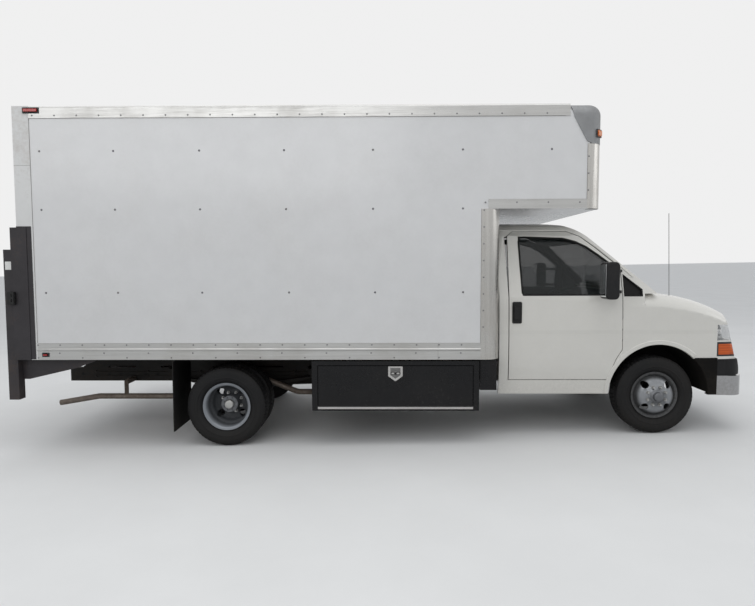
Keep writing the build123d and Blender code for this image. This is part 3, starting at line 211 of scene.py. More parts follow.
def seen_ray(tree):
    """1 for a ray that shows a background: from the camera, off gloss or through glass."""
    rays = Wire(tree).node("LightPath").socket.node.outputs
    labels = ("Is Camera Ray", "Is Glossy Ray", "Is Transmission Ray")
    return sum((Wire(tree, rays[label]) for label in labels), 0).clamp()


def mesh_of(name, points, faces=()):
    """A mesh of points and faces."""
    mesh = bpy.data.meshes.new(name)
    mesh.from_pydata(points, [], faces)
    return mesh


# Floor and light. A pale grey floor, a world that looks white behind, and four broad soft lamps:
# one overhead, one large one behind the camera, and weak ones from the front and the far side.
floor_material, floor_place, floor_shader = new_material("floor")
floor_patch = floor_place.noise(0.9, 8.0, 0.6).ramp(0.3, 0.7)
floor_tone = floor_patch.tint((0.70, 0.70, 0.69, 1), (0.74, 0.74, 0.73, 1))
floor_seen = seen_ray(floor_material.node_tree)
link(floor_seen.tint((0.42, 0.42, 0.41, 1), floor_tone), floor_shader, "Base Color")
floor_shader.inputs["Roughness"].default_value = 0.9
floor_reach = 200
floor_corners = [(x * floor_reach, y * floor_reach, 0) for x, y in ((-1, -1), (1, -1), (1, 1), (-1, 1))]
floor = linked("floor", mesh_of("floor", floor_corners, [(0, 1, 2, 3)]))
floor.data.materials.append(floor_material)

world = bpy.data.worlds.new("world")
bpy.context.scene.world = world
world.use_nodes = True
sky = world.node_tree.nodes["Background"]
link(seen_ray(world.node_tree).tint((0.64, 0.66, 0.69, 1), (0.87, 0.87, 0.87, 1)), sky, "Color")
sky.inputs["Strength"].default_value = 1.0

lamp_table = (
    # name, place, aim, width, height, watts
    ("overhead", (-1.0, -1.5, 9.0), (0.0, 0.0, 1.0), 13.0, 8.0, 330),
    ("camera side", (-4.0, -10.5, 6.0), (0.0, 0.0, 1.2), 10.0, 5.0, 190),
    ("front", (10.5, -3.0, 4.5), (0.0, 0.0, 1.2), 6.0, 4.0, 70),
    ("far side", (0.5, 10.0, 6.0), (0.0, 0.0, 1.2), 9.0, 4.0, 60),
)
for name, spot, aim, width, height, watts in lamp_table:
    lamp = bpy.data.lights.new(name, "AREA")
    lamp.shape = "RECTANGLE"
    lamp.size = width
    lamp.size_y = height
    lamp.energy = watts
    holder = linked(name, lamp)
    holder.location = spot
    holder.rotation_euler = (Vector(aim) - Vector(spot)).to_track_quat("-Z", "Y").to_euler()

bpy.context.scene.view_settings.view_transform = "Standard"


# Pieces: a solid keeps its mesh and gets a finish, or a piece rides on a body in its place.
def dress(material, *names):
    """Gives solids their finish."""
    for name in names:
        slots = nodes[name].data.materials
        slots.clear()
        slots.append(material)


def skin(node, keep=None):
    """A merged copy of a solid's mesh, or of its faces that pass a test."""
    mesh = nodes[node].data.copy()
    shape = bmesh.new()
    shape.from_mesh(mesh)
    bmesh.ops.remove_doubles(shape, verts=shape.verts, dist=0.00002)
    if keep:
        spare = [face for face in shape.faces if not keep(face)]
        bmesh.ops.delete(shape, geom=spare, context="FACES")
    shape.to_mesh(mesh)
    shape.free()
    return mesh


def body_of(node):
    """The body that a solid belongs to."""
    for body, members in frame["record"]["behaviour"]["bodies"].items():
        if node in members:
            return body


def place_piece(name, mesh, material, body="truck", level=True, angle=35, replaces=()):
    """Turns a level mesh by the stance, shades it, and lets it ride on a body."""
    if level:
        mesh.transform(stance)
    mesh.materials.clear()
    mesh.materials.append(material)
    mesh.polygons.foreach_set("use_smooth", [True] * len(mesh.polygons))
    mesh.polygons.foreach_set("material_index", [0] * len(mesh.polygons))
    mesh.set_sharp_from_angle(angle=radians(angle))
    piece = linked(name, mesh)
    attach(piece, body)
    if replaces:
        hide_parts(*replaces)
    return piece


def soften(material, *names, angle=32):
    """Puts smoothly shaded copies of curved solids in the solids' places."""
    for node in names:
        place_piece(node + "_skin", skin(node), material, body_of(node), level=False, angle=angle,
                    replaces=(node,))


def meshed(shape, name):
    """The mesh of a finished shape."""
    mesh = bpy.data.meshes.new(name)
    shape.to_mesh(mesh)
    shape.free()
    return mesh


def joined(*meshes):
    """One mesh made of several."""
    shape = bmesh.new()
    for mesh in meshes:
        shape.from_mesh(mesh)
    return meshed(shape, "joined")


def mirrored(mesh):
    """The same mesh on the truck's other side."""
    other = mesh.copy()
    other.transform(Matrix.Scale(-1, 4, (0, 1, 0)))
    other.flip_normals()
    return other


def both(mesh):
    return joined(mesh, mirrored(mesh))


def place_pair(name, parts, material, replaces=()):
    """A piece made of parts and their mirror images, fixed to the truck."""
    place_piece(name, both(joined(*parts)), material, replaces=replaces)


def sides(mesh, drawn="left"):
    """A mesh with the name of the side it is drawn on, and its mirror image with the other's."""
    other = "right" if drawn == "left" else "left"
    return (drawn, mesh), (other, mirrored(mesh))


def on_doors(name, mesh, material):
    """A piece drawn on the right door, and its mirror image on the left one."""
    for side, part in sides(mesh, "right"):
        door = side + "_door"
        place_piece(name + "_" + door, part, material, door)


def settled(holder):
    """The plain mesh that an object's curve or modifiers make."""
    return bpy.data.meshes.new_from_object(holder.evaluated_get(bpy.context.evaluated_depsgraph_get()))


def new_tree(name, output, **inputs):
    """An empty geometry node group, and its inputs' wires by name."""
    tree = bpy.data.node_groups.new(name, "GeometryNodeTree")
    for label, kind in inputs.items():
        tree.interface.new_socket(label, in_out="INPUT", socket_type="NodeSocket" + kind)
    tree.interface.new_socket(output, in_out="OUTPUT", socket_type="NodeSocketGeometry")
    outputs = tree.nodes.new("NodeGroupInput").outputs
    return tree, {label: Wire(tree, outputs[label]) for label in inputs}


def copied(tree, finish_wire, **sockets):
    """Ends a node group: it copies a form onto points, makes the copies real and paints them."""
    copies = Wire(tree).node("GeometryNodeInstanceOnPoints", {}, sockets)
    real = copies.node("GeometryNodeRealizeInstances", {}, {"Geometry": copies})
    painted = real.node("GeometryNodeSetMaterial", {}, {"Geometry": real, "Material": finish_wire})
    tree.links.new(painted.socket, tree.nodes.new("NodeGroupOutput").inputs[0])


def grown(name, mesh, tree, values):
    """The plain mesh that a node tree makes from a mesh and named inputs."""
    carrier = linked(name, mesh)
    modifier = carrier.modifiers.new("tree", "NODES")
    modifier.node_group = tree
    for item in tree.interface.items_tree:
        if item.item_type == "SOCKET" and item.in_out == "INPUT" and item.name in values:
            modifier[item.identifier] = values[item.name]
    result = settled(carrier)
    carrier.modifiers.remove(modifier)
    bpy.data.objects.remove(carrier)
    return result


head_tree, given = new_tree("heads on points", "Heads", Points="Geometry", Radius="Float",
                            Height="Float", Facing="Vector", Finish="Material")
head_ball = Wire(head_tree).node("GeometryNodeMeshUVSphere", {}, {"Segments": 10, "Rings": 6})
head_size = head_ball.node("CombineXYZ", {}, {"X": given["Radius"], "Y": given["Radius"],
                                              "Z": given["Height"]})
head_turn = head_ball.node("FunctionNodeAlignRotationToVector", {"axis": "Z"},
                           {"Vector": given["Facing"]})
copied(head_tree, given["Finish"], Points=given["Points"], Instance=head_ball, Rotation=head_turn,
       Scale=head_size)


def heads(points, facing, radius, height, material):
    """Domed heads on points, all facing one way."""
    values = {"Radius": radius, "Height": height, "Facing": facing, "Finish": material}
    return grown("heads", mesh_of("points", points), head_tree, values)


def row(start, step, count):
    """Points from start, one step apart."""
    return [tuple(Vector(start) + Vector(step) * i) for i in range(count)]


def bevelled(shape, edge, steps):
    """Turns a closed form's faces outwards and rounds its edges."""
    bmesh.ops.recalc_face_normals(shape, faces=shape.faces)
    if edge:
        bmesh.ops.bevel(shape, geom=shape.edges[:], offset=edge, segments=steps, affect="EDGES",
                        clamp_overlap=True)


def slab(outline, axis, low, high, edge=0.0, steps=2):
    """A flat outline given thickness along an axis, with its edges rounded."""
    number = "XYZ".index(axis)
    shape = bmesh.new()
    ring = [shape.verts.new((*pair[:number], low, *pair[number:])) for pair in outline]
    moved = bmesh.ops.extrude_face_region(shape, geom=[shape.faces.new(ring)])
    way = [0, 0, 0]
    way[number] = high - low
    far = [part for part in moved["geom"] if isinstance(part, bmesh.types.BMVert)]
    bmesh.ops.translate(shape, verts=far, vec=way)
    bevelled(shape, edge, steps)
    return meshed(shape, "slab")


def block(low, high, edge=0.002, steps=2):
    """A box between two corners with rounded edges."""
    outline = ((low[0], low[2]), (high[0], low[2]), (high[0], high[2]), (low[0], high[2]))
    return slab(outline, "Y", low[1], high[1], edge, steps)


def turned(profile, centre, facing, sides=48, closed=False):
    """A profile of (distance out, radius) pairs spun about an axis, capped unless it is closed."""
    turn = Vector((0, 0, 1)).rotation_difference(Vector(facing)).to_matrix().to_4x4()
    place = Matrix.Translation(centre) @ turn
    angles = [2 * pi * i / sides for i in range(sides)]
    spots = [place @ Vector((radius * cos(a), radius * sin(a), out))
             for out, radius in profile for a in angles]
    count = len(profile)
    faces = []
    for ring in range(count if closed else count - 1):
        near = ring * sides
        far = (ring + 1) % count * sides
        for i in range(sides):
            j = (i + 1) % sides
            faces.append((near + i, near + j, far + j, far + i))
    if not closed:
        faces += [tuple(range(sides)), tuple(range((count - 1) * sides, count * sides))]
    shape = bmesh.new()
    shape.from_mesh(mesh_of("profile", spots, faces))
    bmesh.ops.recalc_face_normals(shape, faces=shape.faces)
    return meshed(shape, "turned")


def disc(centre, facing, radius, thick, sides=20):
    """A flat round disc."""
    return turned(((-thick / 2, radius), (thick / 2, radius)), centre, facing, sides)


def tube(points, radius, steps=2, closed=False):
    """A round bar, straight between points."""
    curve = bpy.data.curves.new("tube", "CURVE")
    curve.dimensions = "3D"
    curve.bevel_depth = radius
    curve.bevel_resolution = steps
    curve.use_fill_caps = True
    line = curve.splines.new("POLY")
    line.points.add(len(points) - 1)
    for spot, point in zip(line.points, points):
        spot.co = (*point, 1)
    line.use_cyclic_u = closed
    carrier = linked("tube", curve)
    mesh = settled(carrier)
    bpy.data.objects.remove(carrier)
    return mesh


# Freight body panels: white glossy fibreglass over plywood, slightly wavy, which is why a
# reflection on them is soft and broken. The screws that hold the load rails inside show as small
# heads in three rows.
panel_white = finish("panel white", (0.70, 0.70, 0.70), soil=(0.50, 0.47, 0.42), soiled=0.10,
                     low=(0.12, 1.5), rough=0.15, uneven=0.06, coat=0.5, wave=(0.007, 1.7),
                     shade=0.025)
dress(panel_white, "side_walls", "front_wall", "roof", "nose_shell")

screw_zinc = finish("screw heads", (0.16, 0.16, 0.17), rough=0.45, metal=0.6, soiled=0.4)
screw_rows = (
    # height, places along the wall
    (2.634, (-5.651, -4.987, -4.218, -3.461, -2.670, -1.873, -1.087)),
    (2.115, (-5.651, -4.987, -4.221, -3.449, -2.671, -1.869)),
    (1.368, (-5.639, -4.983, -4.218, -3.432, -2.655, -1.863)),
)
screw_points = [(x, -1.216, z) for z, places in screw_rows for x in places]
screws = heads(screw_points, to_right, 0.0100, 0.0040, screw_zinc)
place_pair("wall_screws", [screws], screw_zinc)

# Rails and posts: extruded aluminium rails riveted along the panels' edges, and bright rolled posts
# at the corners. The rivets are duller.
rail_metal = finish("mill aluminium", (0.50, 0.50, 0.49), soil=(0.24, 0.22, 0.19), soiled=0.4,
                    low=(0.2, 1.2), rough=0.30, uneven=0.18, metal=0.95, grain=(0.00025, 14.0),
                    stretch=(0.12, 6, 6), wave=(0.0015, 3.0))
post_metal = finish("bright aluminium", (0.50, 0.49, 0.47), soil=(0.26, 0.22, 0.17), soiled=0.3,
                    low=(0.15, 1.2), rough=0.24, uneven=0.12, metal=1.0, grain=(0.0002, 10.0),
                    stretch=(6, 6, 0.15), wave=(0.004, 2.2))
rivet_metal = finish("rivets", (0.22, 0.22, 0.225), soil=(0.12, 0.10, 0.08), soiled=0.4,
                     rough=0.4, metal=0.8)
dress(rail_metal, "body_rails")
soften(post_metal, "corner_posts")

rivet_radius = 0.0080
side_rows = (
    # start, step, count
    ((-5.700, -1.222, 2.945), (0.1985, 0, 0), 24),
    ((-5.729, -1.222, 0.892), (0.2029, 0, 0), 20),
    ((-5.532, -1.222, 0.818), (0.4058, 0, 0), 10),
    ((-5.729, -1.222, 0.775), (0.4058, 0, 0), 10),
    ((-1.670, -1.222, 2.168), (0.2790, 0, 0), 4),
    ((-1.680, -1.222, 1.053), (0, 0, 0.1496), 8),
    ((-0.761, -1.222, 2.273), (0, 0, 0.1480), 3),
)
rivet_rows = (
    # points, facing, height
    ([p for line in side_rows for p in row(*line)], to_right, 0.0038),
    (row((-0.634, -1.084, 2.190), (0, 0, 0.125), 4), to_front, 0.0038),
    (row((-5.60, -1.175, 3.030), (0.1985, 0, 0), 23), to_top, 0.0025),
    (row((-0.634, -0.9, 2.876), (0, 0.15, 0), 13), to_front, 0.0038),
)
*paired_rivets, edge_rivets = [heads(points, facing, rivet_radius, height, rivet_metal)
                               for points, facing, height in rivet_rows]
body_rivets = joined(both(joined(*paired_rivets)), edge_rivets)
place_piece("body_rivets", body_rivets, rivet_metal)

# Seams: the bottom rail's joint, and the beads of sealant where the posts and rails lap the panels.
sealant = finish("sealant", (0.30, 0.29, 0.28), rough=0.6, soiled=0.5)
seams = (
    # two corners, edge
    ((-2.0875, -1.2235, 0.757), (-2.0845, -1.2215, 0.905), 0.0004),
    ((-1.7045, -1.2185, 0.757), (-1.7015, -1.2155, 2.112), 0.0008),
    ((-5.7355, -1.2205, 0.910), (-5.7325, -1.2155, 2.920), 0.0008),
    ((-0.7725, -1.2195, 2.200), (-0.7695, -1.2155, 2.680), 0.0008),
    ((-5.730, -1.2185, 0.905), (-1.703, -1.2155, 0.908), 0.0008),
    ((-5.730, -1.2185, 2.920), (-0.970, -1.2155, 2.923), 0.0008),
    ((-1.640, -1.2185, 2.194), (-0.772, -1.2155, 2.197), 0.0008),
    ((-5.8840, -1.2205, 2.5080), (-5.7350, -1.2185, 2.5105), 0.0006),
)
seam_parts = [block(low, high, edge, 1) for low, high, edge in seams]
place_pair("body_seams", seam_parts, sealant)

# Corner caps: rough grey castings over the nose's upper corners.
cap_metal = finish("cast caps", (0.27, 0.275, 0.28), soil=(0.22, 0.21, 0.20), soiled=0.4,
                   rough=0.55, metal=0.45, grain=(0.0012, 150.0), shade=0.12)
soften(cap_metal, "corner_caps", angle=40)

# Body lamps: each a coloured lens with ribs, bulging from a shallow black base on the rail or post.
lens_red = finish("red lens", (0.42, 0.018, 0.016), rough=0.12, soiled=0.2, coat=0.6,
                  grain=(0.0035, 24.0), stretch=(5, 5, 0.3))
lens_amber = finish("amber lens", (0.75, 0.20, 0.03), rough=0.14, soiled=0.2, coat=0.6,
                    grain=(0.0035, 24.0), stretch=(5, 5, 0.3))
lamp_black = finish("lamp bases", (0.03, 0.03, 0.03), rough=0.45)


def lens(centre, half, depth, facing, edge=0.010):
    """A domed lens: the centre of its back, half sizes along and up, depth and way out."""
    out = Vector(facing)
    up = Vector(to_top)
    turn = Matrix((up.cross(out).normalized(), up, out)).transposed().to_4x4()
    size = Matrix.Diagonal((2 * half[0], 2 * half[1], depth, 1))
    shape = bmesh.new()
    bmesh.ops.create_cube(shape, size=1)
    place = Matrix.Translation(Vector(centre) + out * depth / 2) @ turn @ size
    bmesh.ops.transform(shape, matrix=place, verts=shape.verts)
    bevelled(shape, edge, 4)
    return meshed(shape, "lens")


def base(centre, half, depth, facing):
    """The rim that a lens bulges from, wider all round and less deep."""
    return lens(centre, (half[0] + 0.006, half[1] + 0.006), depth * 0.4, facing, 0.002)


slant = sin(radians(45))
corner_spot = (-0.752 + 0.120 * slant, -1.104 - 0.120 * slant, 2.772)
side_lamps = (
    # lens, centre of the back, half sizes, depth, way out
    ("red", (-5.710, -1.2225, 2.990), (0.068, 0.020), 0.016, to_right),
    ("red", (-5.660, -1.2225, 0.803), (0.026, 0.014), 0.016, to_right),
    ("amber", corner_spot, (0.037, 0.030), 0.017, (slant, -slant, 0)),
    ("red", (-5.8845, -0.140, 2.950), (0.040, 0.015), 0.016, to_rear),
    ("red", (-5.8845, -1.150, 2.950), (0.040, 0.015), 0.016, to_rear),
    ("red", (-5.8845, -0.960, 0.851), (0.068, 0.022), 0.016, to_rear),
)
lamp_pieces = (
    # name, tone, finish, replaces
    ("red_lenses", "red", lens_red, ("body_lamps",)),
    ("amber_lenses", "amber", lens_amber, ()),
)
for name, wanted, lens_finish, gone in lamp_pieces:
    lens_parts = [lens(*form) for tone, *form in side_lamps if tone == wanted]
    place_pair(name, lens_parts, lens_finish, gone)
place_pair("lamp_bases", [base(*form) for tone, *form in side_lamps], lamp_black)

# Rear frame and door: white steel posts, header and sill round a roll-up curtain of sections, with
# zinc hinges between the sections, a lock and its handle, and a rubber seal along the foot.
frame_white = finish("frame white", (0.70, 0.70, 0.69), soil=(0.30, 0.22, 0.16), soiled=0.35,
                     low=(0.3, 1.2), rough=0.32, coat=0.2, grain=(0.0004, 120.0), shade=0.03)
dress(frame_white, "rear_frame")
curtain_white = finish("curtain white", (0.66, 0.66, 0.65), soiled=0.3, low=(0.3, 1.2), rough=0.35,
                       coat=0.1, wave=(0.002, 3.0), shade=0.03)
dress(curtain_white, "rear_door")
hinge_metal = finish("zinc fittings", (0.55, 0.54, 0.50), soil=(0.30, 0.18, 0.10), soiled=0.4,
                     rough=0.35, metal=0.9)
door_parts = []
for z in [0.890 + step * 0.280 for step in range(1, 7)]:
    for y in (-1.02, -0.5, 0.5, 1.02):
        door_parts.append(block((-5.8420, y - 0.035, z - 0.045), (-5.8365, y + 0.035, z + 0.045),
                                0.001, 1))
door_parts.append(block((-5.850, -0.075, 0.990), (-5.842, 0.075, 1.090), 0.002))
door_parts.append(block((-5.868, -0.012, 1.000), (-5.850, 0.012, 1.080), 0.003))
place_piece("door_fittings", joined(*door_parts), hinge_metal)
place_piece("door_seal", block((-5.838, -1.100, 0.891), (-5.812, 1.100, 0.905), 0.003), lamp_black)

# Liftgate: dark painted steel columns and runners, brown with rust and road dust low down, with a
# plate on each column, and a reflector plate and a control box on the right.
lift_paint = finish("lift paint", (0.034, 0.031, 0.034), soil=(0.10, 0.068, 0.05), soiled=0.45,
                    low=(0.55, 0.75), gloss=0.3, rough=0.45, uneven=0.25, grain=(0.0006, 90.0),
                    shade=0.15)
dress(lift_paint, "lift_columns", "lift_carriage")
platform_steel = finish("platform steel", (0.13, 0.13, 0.13), soil=(0.26, 0.17, 0.11), soiled=0.7,
                        low=(0.4, 1.2), rough=0.55, metal=0.5, grain=(0.002, 30.0))
dress(platform_steel, "lift_platform")
column_plate = block((-5.886, -1.2235, 0.762), (-5.750, -1.2190, 1.968), 0.0015, 1)
place_pair("lift_post_plates", [column_plate], lift_paint)
plate_white = finish("blank plate", (0.72, 0.72, 0.70), rough=0.4, soiled=0.5)
reflector = block((-6.000, -1.2225, 1.578), (-5.925, -1.2185, 1.652), 0.001, 1)
place_piece("lift_reflector", reflector, plate_white)
control_black = finish("control box", (0.015, 0.015, 0.015), rough=0.4, soiled=0.2, gloss=0.3)
control_parts = [
    block((-5.975, -1.262, 1.262), (-5.905, -1.2185, 1.378), 0.006),
    block((-5.952, -1.2695, 1.335), (-5.928, -1.260, 1.360), 0.003),
    block((-5.952, -1.2695, 1.290), (-5.928, -1.260, 1.315), 0.003),
]
place_piece("lift_controls", joined(*control_parts), control_black)

# Toolbox: black powder-coated steel with a drop-down door, a stainless hinge strip along its foot,
# and a T handle in a stainless shield plate.
box_black = finish("toolbox black", (0.006, 0.006, 0.007), soil=(0.05, 0.045, 0.038), soiled=0.12,
                   low=(0.10, 0.6), gloss=0.18, rough=0.22, coat=0.12, wave=(0.004, 3.0), shade=0.1)
dress(box_black, "toolbox", "toolbox_door")
latch_steel = finish("stainless", (0.50, 0.49, 0.48), soil=(0.20, 0.17, 0.14), soiled=0.35,
                     rough=0.25, metal=1.0, grain=(0.0002, 120.0), stretch=(0.3, 3, 3))
latch_x = -2.472


def shield(half, top, shoulder, point, low, high, edge, steps):
    """A plate that narrows to a point at its foot, centred on the latch."""
    outline = ((-half, top), (half, top), (half, shoulder), (0.0, point), (-half, shoulder))
    return slab([(latch_x + x, z) for x, z in outline], "Y", low, high, edge, steps)


shield_plate = shield(0.066, 0.6945, 0.606, 0.558, -1.2290, -1.2188, 0.0015, 2)
dish_plate = shield(0.046, 0.682, 0.616, 0.582, -1.2300, -1.2285, 0.0004, 1)
dish_grey = finish("latch dish", (0.16, 0.16, 0.16), rough=0.35, metal=0.8, soiled=0.4)
handle_bar = block((latch_x - 0.041, -1.2475, 0.624), (latch_x + 0.041, -1.2335, 0.646), 0.005, 3)
handle_stem = block((latch_x - 0.012, -1.2400, 0.622), (latch_x + 0.012, -1.2280, 0.648), 0.004, 3)
place_piece("toolbox_latch", joined(shield_plate, handle_bar, handle_stem), latch_steel,
            "toolbox_door")
place_piece("toolbox_latch_dish", dish_plate, dish_grey, "toolbox_door")
hinge_strip = block((-3.180, -1.2215, 0.300), (-1.764, -1.2190, 0.322), 0.0008, 1)
strip_rivets = heads(row((-3.150, -1.2215, 0.311), (0.1508, 0, 0), 10), to_right, 0.004, 0.002,
                     latch_steel)
place_piece("toolbox_hinge", joined(hinge_strip, strip_rivets), latch_steel)

# Floor, sills and frame: a hardwood deck on steel channels over a black chassis frame, all dull with road
# dust, with lightening holes drawn as black discs of painted shade, and fixing bolts along the frame's
# webs.
chassis_paint = finish("chassis black", (0.012, 0.0115, 0.011), soil=(0.06, 0.046, 0.035),
                       soiled=0.45, low=(0.3, 0.7), gloss=0.2, rough=0.55, uneven=0.2,
                       grain=(0.0008, 70.0), shade=0.2)
dress(chassis_paint, "frame", "body_sills", "suspension")
deck_material, deck_place, deck_shader = new_material("deck")
boards_per_metre = 18.0
board_gap = (deck_place.part("Y") * boards_per_metre).fraction().ramp(0.0, 0.04)
deck_grain = deck_place.stretched((1.5, 30, 30)).noise(5.0, 8.0, 0.65)
deck_tone = deck_grain.tint((0.36, 0.22, 0.11, 1), (0.20, 0.115, 0.055, 1))
deck_board = board_gap.tint((0.03, 0.02, 0.015, 1), deck_tone)
channel_patch = deck_place.noise(30.0, 5.0)
channel_tone = channel_patch.tint((0.020, 0.018, 0.016, 1), (0.055, 0.043, 0.033, 1))
above_channels = level_height(deck_place).ramp(0.8592, 0.8598)
link(above_channels.tint(channel_tone, deck_board), deck_shader, "Base Color")
link((deck_grain * 0.3 + 0.42).clamp(), deck_shader, "Roughness")
emboss(deck_grain * 0.0006 + board_gap * 0.001, deck_shader)
dress(deck_material, "body_floor")

# The holes are black discs on the webs: painted shade for the dark inside of each hole.
hole_shade = finish("holes", (0.004, 0.004, 0.004), rough=0.9, soiled=0.0)
hole_places = (-5.74, -5.46, -5.34, -5.08, -4.95, -3.2, -2.1)
hole_parts = [disc((x, -0.4302, 0.478), to_right, 0.016, 0.002) for x in hole_places]
place_pair("frame_hole_shades", hole_parts, hole_shade)
web_bolts = [(x, -0.430, z) for x in (-5.60, -5.05, -4.50, -3.50, -2.70, -1.80)
             for z in (0.455, 0.505)]
spring_bolts = [(x, -0.4345, 0.514) for x in (-4.79, -4.74, -3.34, -3.29)]
bolts = heads(web_bolts + spring_bolts, to_right, 0.013, 0.010, chassis_paint)
place_pair("frame_bolts", [bolts], chassis_paint)

# Springs and axle: leaf packs clamped by U bolts on the axle's pads, dampers beside them, and two
# brake lines a side clipped along the frame.
axle_iron = finish("axle iron", (0.022, 0.020, 0.018), soil=(0.08, 0.058, 0.044), soiled=0.5,
                   low=(0.35, 0.6), gloss=0.3, rough=0.6, metal=0.2, grain=(0.001, 80.0))
dress(axle_iron, "propeller_shaft", "engine_block")
soften(axle_iron, "rear_axle", "knuckle_left", "knuckle_right")

bolt_foot = axle_z - 0.075
bolt_top = axle_z + 0.125
under_parts = []
for x in (axle_x - 0.052, axle_x + 0.052):
    u_bolt = [(x, 0.444, bolt_foot), (x, 0.444, bolt_top), (x, 0.512, bolt_top), (x, 0.512, bolt_foot)]
    under_parts.append(tube(u_bolt, 0.008))
under_parts.append(block((axle_x - 0.075, 0.432, axle_z - 0.066),
                         (axle_x + 0.075, 0.524, axle_z - 0.050), 0.003, 1))
under_parts.append(tube([(axle_x - 0.10, 0.350, axle_z + 0.02), (axle_x - 0.29, 0.350, 0.425)], 0.026, 3))
under_parts.append(tube([(axle_x - 0.19, 0.350, axle_z + 0.08), (axle_x - 0.30, 0.350, 0.440)], 0.033, 3))
for z in (0.460, 0.500):
    under_parts.append(tube([(-5.60, 0.4345, z), (-0.60, 0.4345, z)], 0.004, 1))
place_pair("axle_clamps", under_parts, axle_iron)

# Front springs: a coil on each lower arm, round a damper, up to the frame.
coil_y = 0.520
coil_radius = 0.056
coil = [(coil_radius * cos(i * pi / 6), coil_y + coil_radius * sin(i * pi / 6), 0.250 + i * 0.0036)
        for i in range(66)]
coil_parts = [tube(coil, 0.0075),
              tube([(0, coil_y, 0.245), (0, coil_y, 0.37)], 0.020, 3),
              tube([(0, coil_y, 0.35), (0, coil_y, 0.49)], 0.012, 3)]
place_pair("front_coils", coil_parts, axle_iron)

# Mud flaps: black rubber sheets behind the rear wheels, dusty low down.
flap_rubber = finish("flap rubber", (0.010, 0.010, 0.010), soil=(0.05, 0.044, 0.038), soiled=0.4,
                     low=(0.3, 0.5), gloss=0.2, rough=0.6, grain=(0.0008, 60.0), wave=(0.004, 5.0))
dress(flap_rubber, "mud_flaps")


# Cab: pressed steel painted a slightly warm white, glossy where clean and dull low down. The
# shell, doors and hood are the solids' shapes, shaded smooth.
def side_pressing(place):
    """The pressed line along the cab's side, below which the sheet steps in."""
    return level_height(place).ramp(0.962, 0.998) * 0.0026


cab_paint = finish("cab white", (0.70, 0.685, 0.64), soil=(0.36, 0.31, 0.25), soiled=0.06,
                   low=(0.25, 0.62), rough=0.24, uneven=0.08, coat=0.4, wave=(0.0012, 2.5),
                   shade=0.015, pressing=side_pressing)
cabin_trim = finish("cabin trim", (0.045, 0.045, 0.048), soiled=0.1, rough=0.75,
                    grain=(0.0006, 250.0), gloss=0.3)
cabin_middle = stance @ Vector((-0.90, 0, 1.20))
cabin_low = stance @ Vector((-1.60, -0.985, 0.56))
cabin_high = stance @ Vector((-0.14, 0.985, 1.93))


def inside_cabin(face):
    """A face of the cabin's lining: it lies within the cab and looks to its middle."""
    spot = face.calc_center_median()
    within = all(low < value < high for low, value, high in zip(cabin_low, spot, cabin_high))
    return within and face.normal.dot(cabin_middle - spot) > 0.10


# The cab's side meets the fender in a step of a few millimetres at the firewall. The real panel is
# smooth there, so both sides are drawn to the middle of the step and eased out over a length. The
# easing fades out at its top, where the fender's shoulder turns under the belt.
firewall_x = -0.130
ease_low = -0.310
ease_high = 0.050
ease_top = 1.255
ease_fade = 0.03
ease_cell = 0.03
panel_y = 0.94
riser_y = 0.97
largest_step = 0.010


